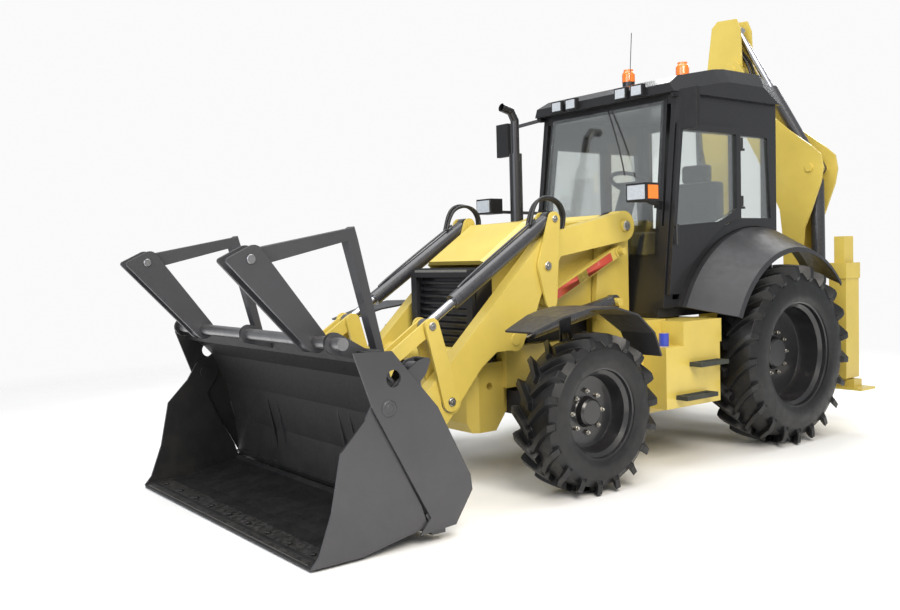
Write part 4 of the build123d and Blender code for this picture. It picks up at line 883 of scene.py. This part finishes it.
# red safety strut, stowed flat along the left levelling link
link_low, link_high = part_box("leveling_links")
head = Vector((link_low.x + 0.04, 0, link_high.z - 0.04))
foot = Vector((link_high.x - 0.04, 0, link_low.z + 0.04))
run = (foot - head).normalized()
strut = Shape()
place = Matrix.Translation((head + foot) / 2 + Vector((0, link_high.y, 0)))
place = place @ Matrix.Rotation(math.atan2(-run.z, run.x), 4, "Y")
half = (foot - head).length * 0.38
for a, b, finish in ((-1.0, -0.1, strut_red), (-0.1, 0.22, yellow), (0.22, 1.0, strut_red)):
    points = [place @ Vector((x, y, z)) for x in (a * half, b * half) for y in (-0.001, 0.0015)
              for z in (-0.030, 0.030)]
    strut.take(points, BOX_FACES, finish)
strut.done("safety_strut", "leveling_links")

# %% [markdown]
# ## 11. Floor, light and camera
# A pale sweep, four soft lamps, and a background that only the camera sees as pale.

# %%
card, card_solid, card_gone = 60, 4.5, 9.0     # half side, and where the card starts and ends to fade
floor_mesh = bpy.data.meshes.new("floor")
floor_mesh.from_pydata([(-card, -card, 0), (card, -card, 0), (card, card, 0), (-card, card, 0)], [],
                       [(0, 1, 2, 3)])
ground = Finish("floor_card")
cloud = ground.span(ground.noise(900, 3), 0.3, 0.7)
ground.set(Base_Color=ground.blend(cloud, linear("f4f4f3"), linear("eeeeec")),
           Roughness=ground.span(ground.noise(300, 3), 0.3, 0.7, 0.55, 0.65),
           Normal=ground.bump(ground.noise(4, 2), 0.05))
# beyond the sweep's edge the card is clear, so the pale background runs on without a horizon
reach_out = ground.node("ShaderNodeVectorMath", {"operation": "LENGTH"})
ground.put(reach_out.inputs[0], ground.place)
fade = ground.node("ShaderNodeMixShader")
ground.put(fade.inputs[0], ground.span(reach_out.outputs["Value"], card_solid, card_gone))
ground.put(fade.inputs[1], ground.surface.outputs[0])
ground.put(fade.inputs[2], ground.node("ShaderNodeBsdfTransparent").outputs[0])
ground.put(ground.tree.nodes["Material Output"].inputs["Surface"], fade.outputs[0])
floor_mesh.materials.append(ground.material)
floor = bpy.data.objects.new("floor", floor_mesh)
bpy.context.scene.collection.objects.link(floor)
floor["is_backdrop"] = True

world = bpy.context.scene.world or bpy.data.worlds.new("studio")
bpy.context.scene.world = world
world.use_nodes = True
sky = world.node_tree
back = next(n for n in sky.nodes if n.type == "BACKGROUND")
ray = sky.nodes.new("ShaderNodeLightPath")
mix = sky.nodes.new("ShaderNodeMix")
mix.data_type = "RGBA"
sky.links.new(ray.outputs["Is Camera Ray"], mix.inputs[0])
mix.inputs[6].default_value = (0.62, 0.64, 0.66, 1)
mix.inputs[7].default_value = (1.28, 1.28, 1.28, 1)
sky.links.new(mix.outputs[2], back.inputs["Color"])
back.inputs["Strength"].default_value = 0.75

# name, place, size, watts, colour
lamps = (("key", (3.5, 7.5, 7.0), 5.0, 900, "fff7ec"), ("fill", (8.5, 1.5, 4.0), 6.0, 420, "eef3ff"),
         ("rim", (-7.0, -3.0, 7.0), 5.0, 520, "ffffff"), ("overhead", (0.0, 0.0, 8.5), 7.0, 480, "ffffff"))
for name, place, size, watts, tint in lamps:
    light = bpy.data.lights.new(name, "AREA")
    light.size, light.energy, light.color = size, watts, linear(tint)[:3]
    lamp = bpy.data.objects.new(name, light)
    lamp.location = place
    lamp.rotation_euler = (Vector((0, 0, 1.2)) - Vector(place)).to_track_quat("-Z", "Y").to_euler()
    bpy.context.scene.collection.objects.link(lamp)

yaw, pitch, roll = math.radians(-127.454), math.radians(-2.924), math.radians(-1.559)
ahead = Vector((math.cos(yaw) * math.cos(pitch), math.sin(yaw) * math.cos(pitch), math.sin(pitch)))
level = ahead.cross(UP).normalized()
above = level.cross(ahead)
right = level * math.cos(roll) + above * math.sin(roll)
top = above * math.cos(roll) - level * math.sin(roll)
lens_data = bpy.data.cameras.new("camera")
lens_data.lens, lens_data.sensor_width = 37.07, 36.0
lens_data.clip_start, lens_data.clip_end = 0.05, 300
camera = bpy.data.objects.new("camera", lens_data)
camera.matrix_world = Matrix(((right.x, top.x, -ahead.x, 4.783), (right.y, top.y, -ahead.y, 5.091),
                              (right.z, top.z, -ahead.z, 1.511), (0, 0, 0, 1)))
bpy.context.scene.collection.objects.link(camera)
bpy.context.scene.camera = camera
bpy.context.scene.view_settings.view_transform = "Standard"

# %%
low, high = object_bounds()
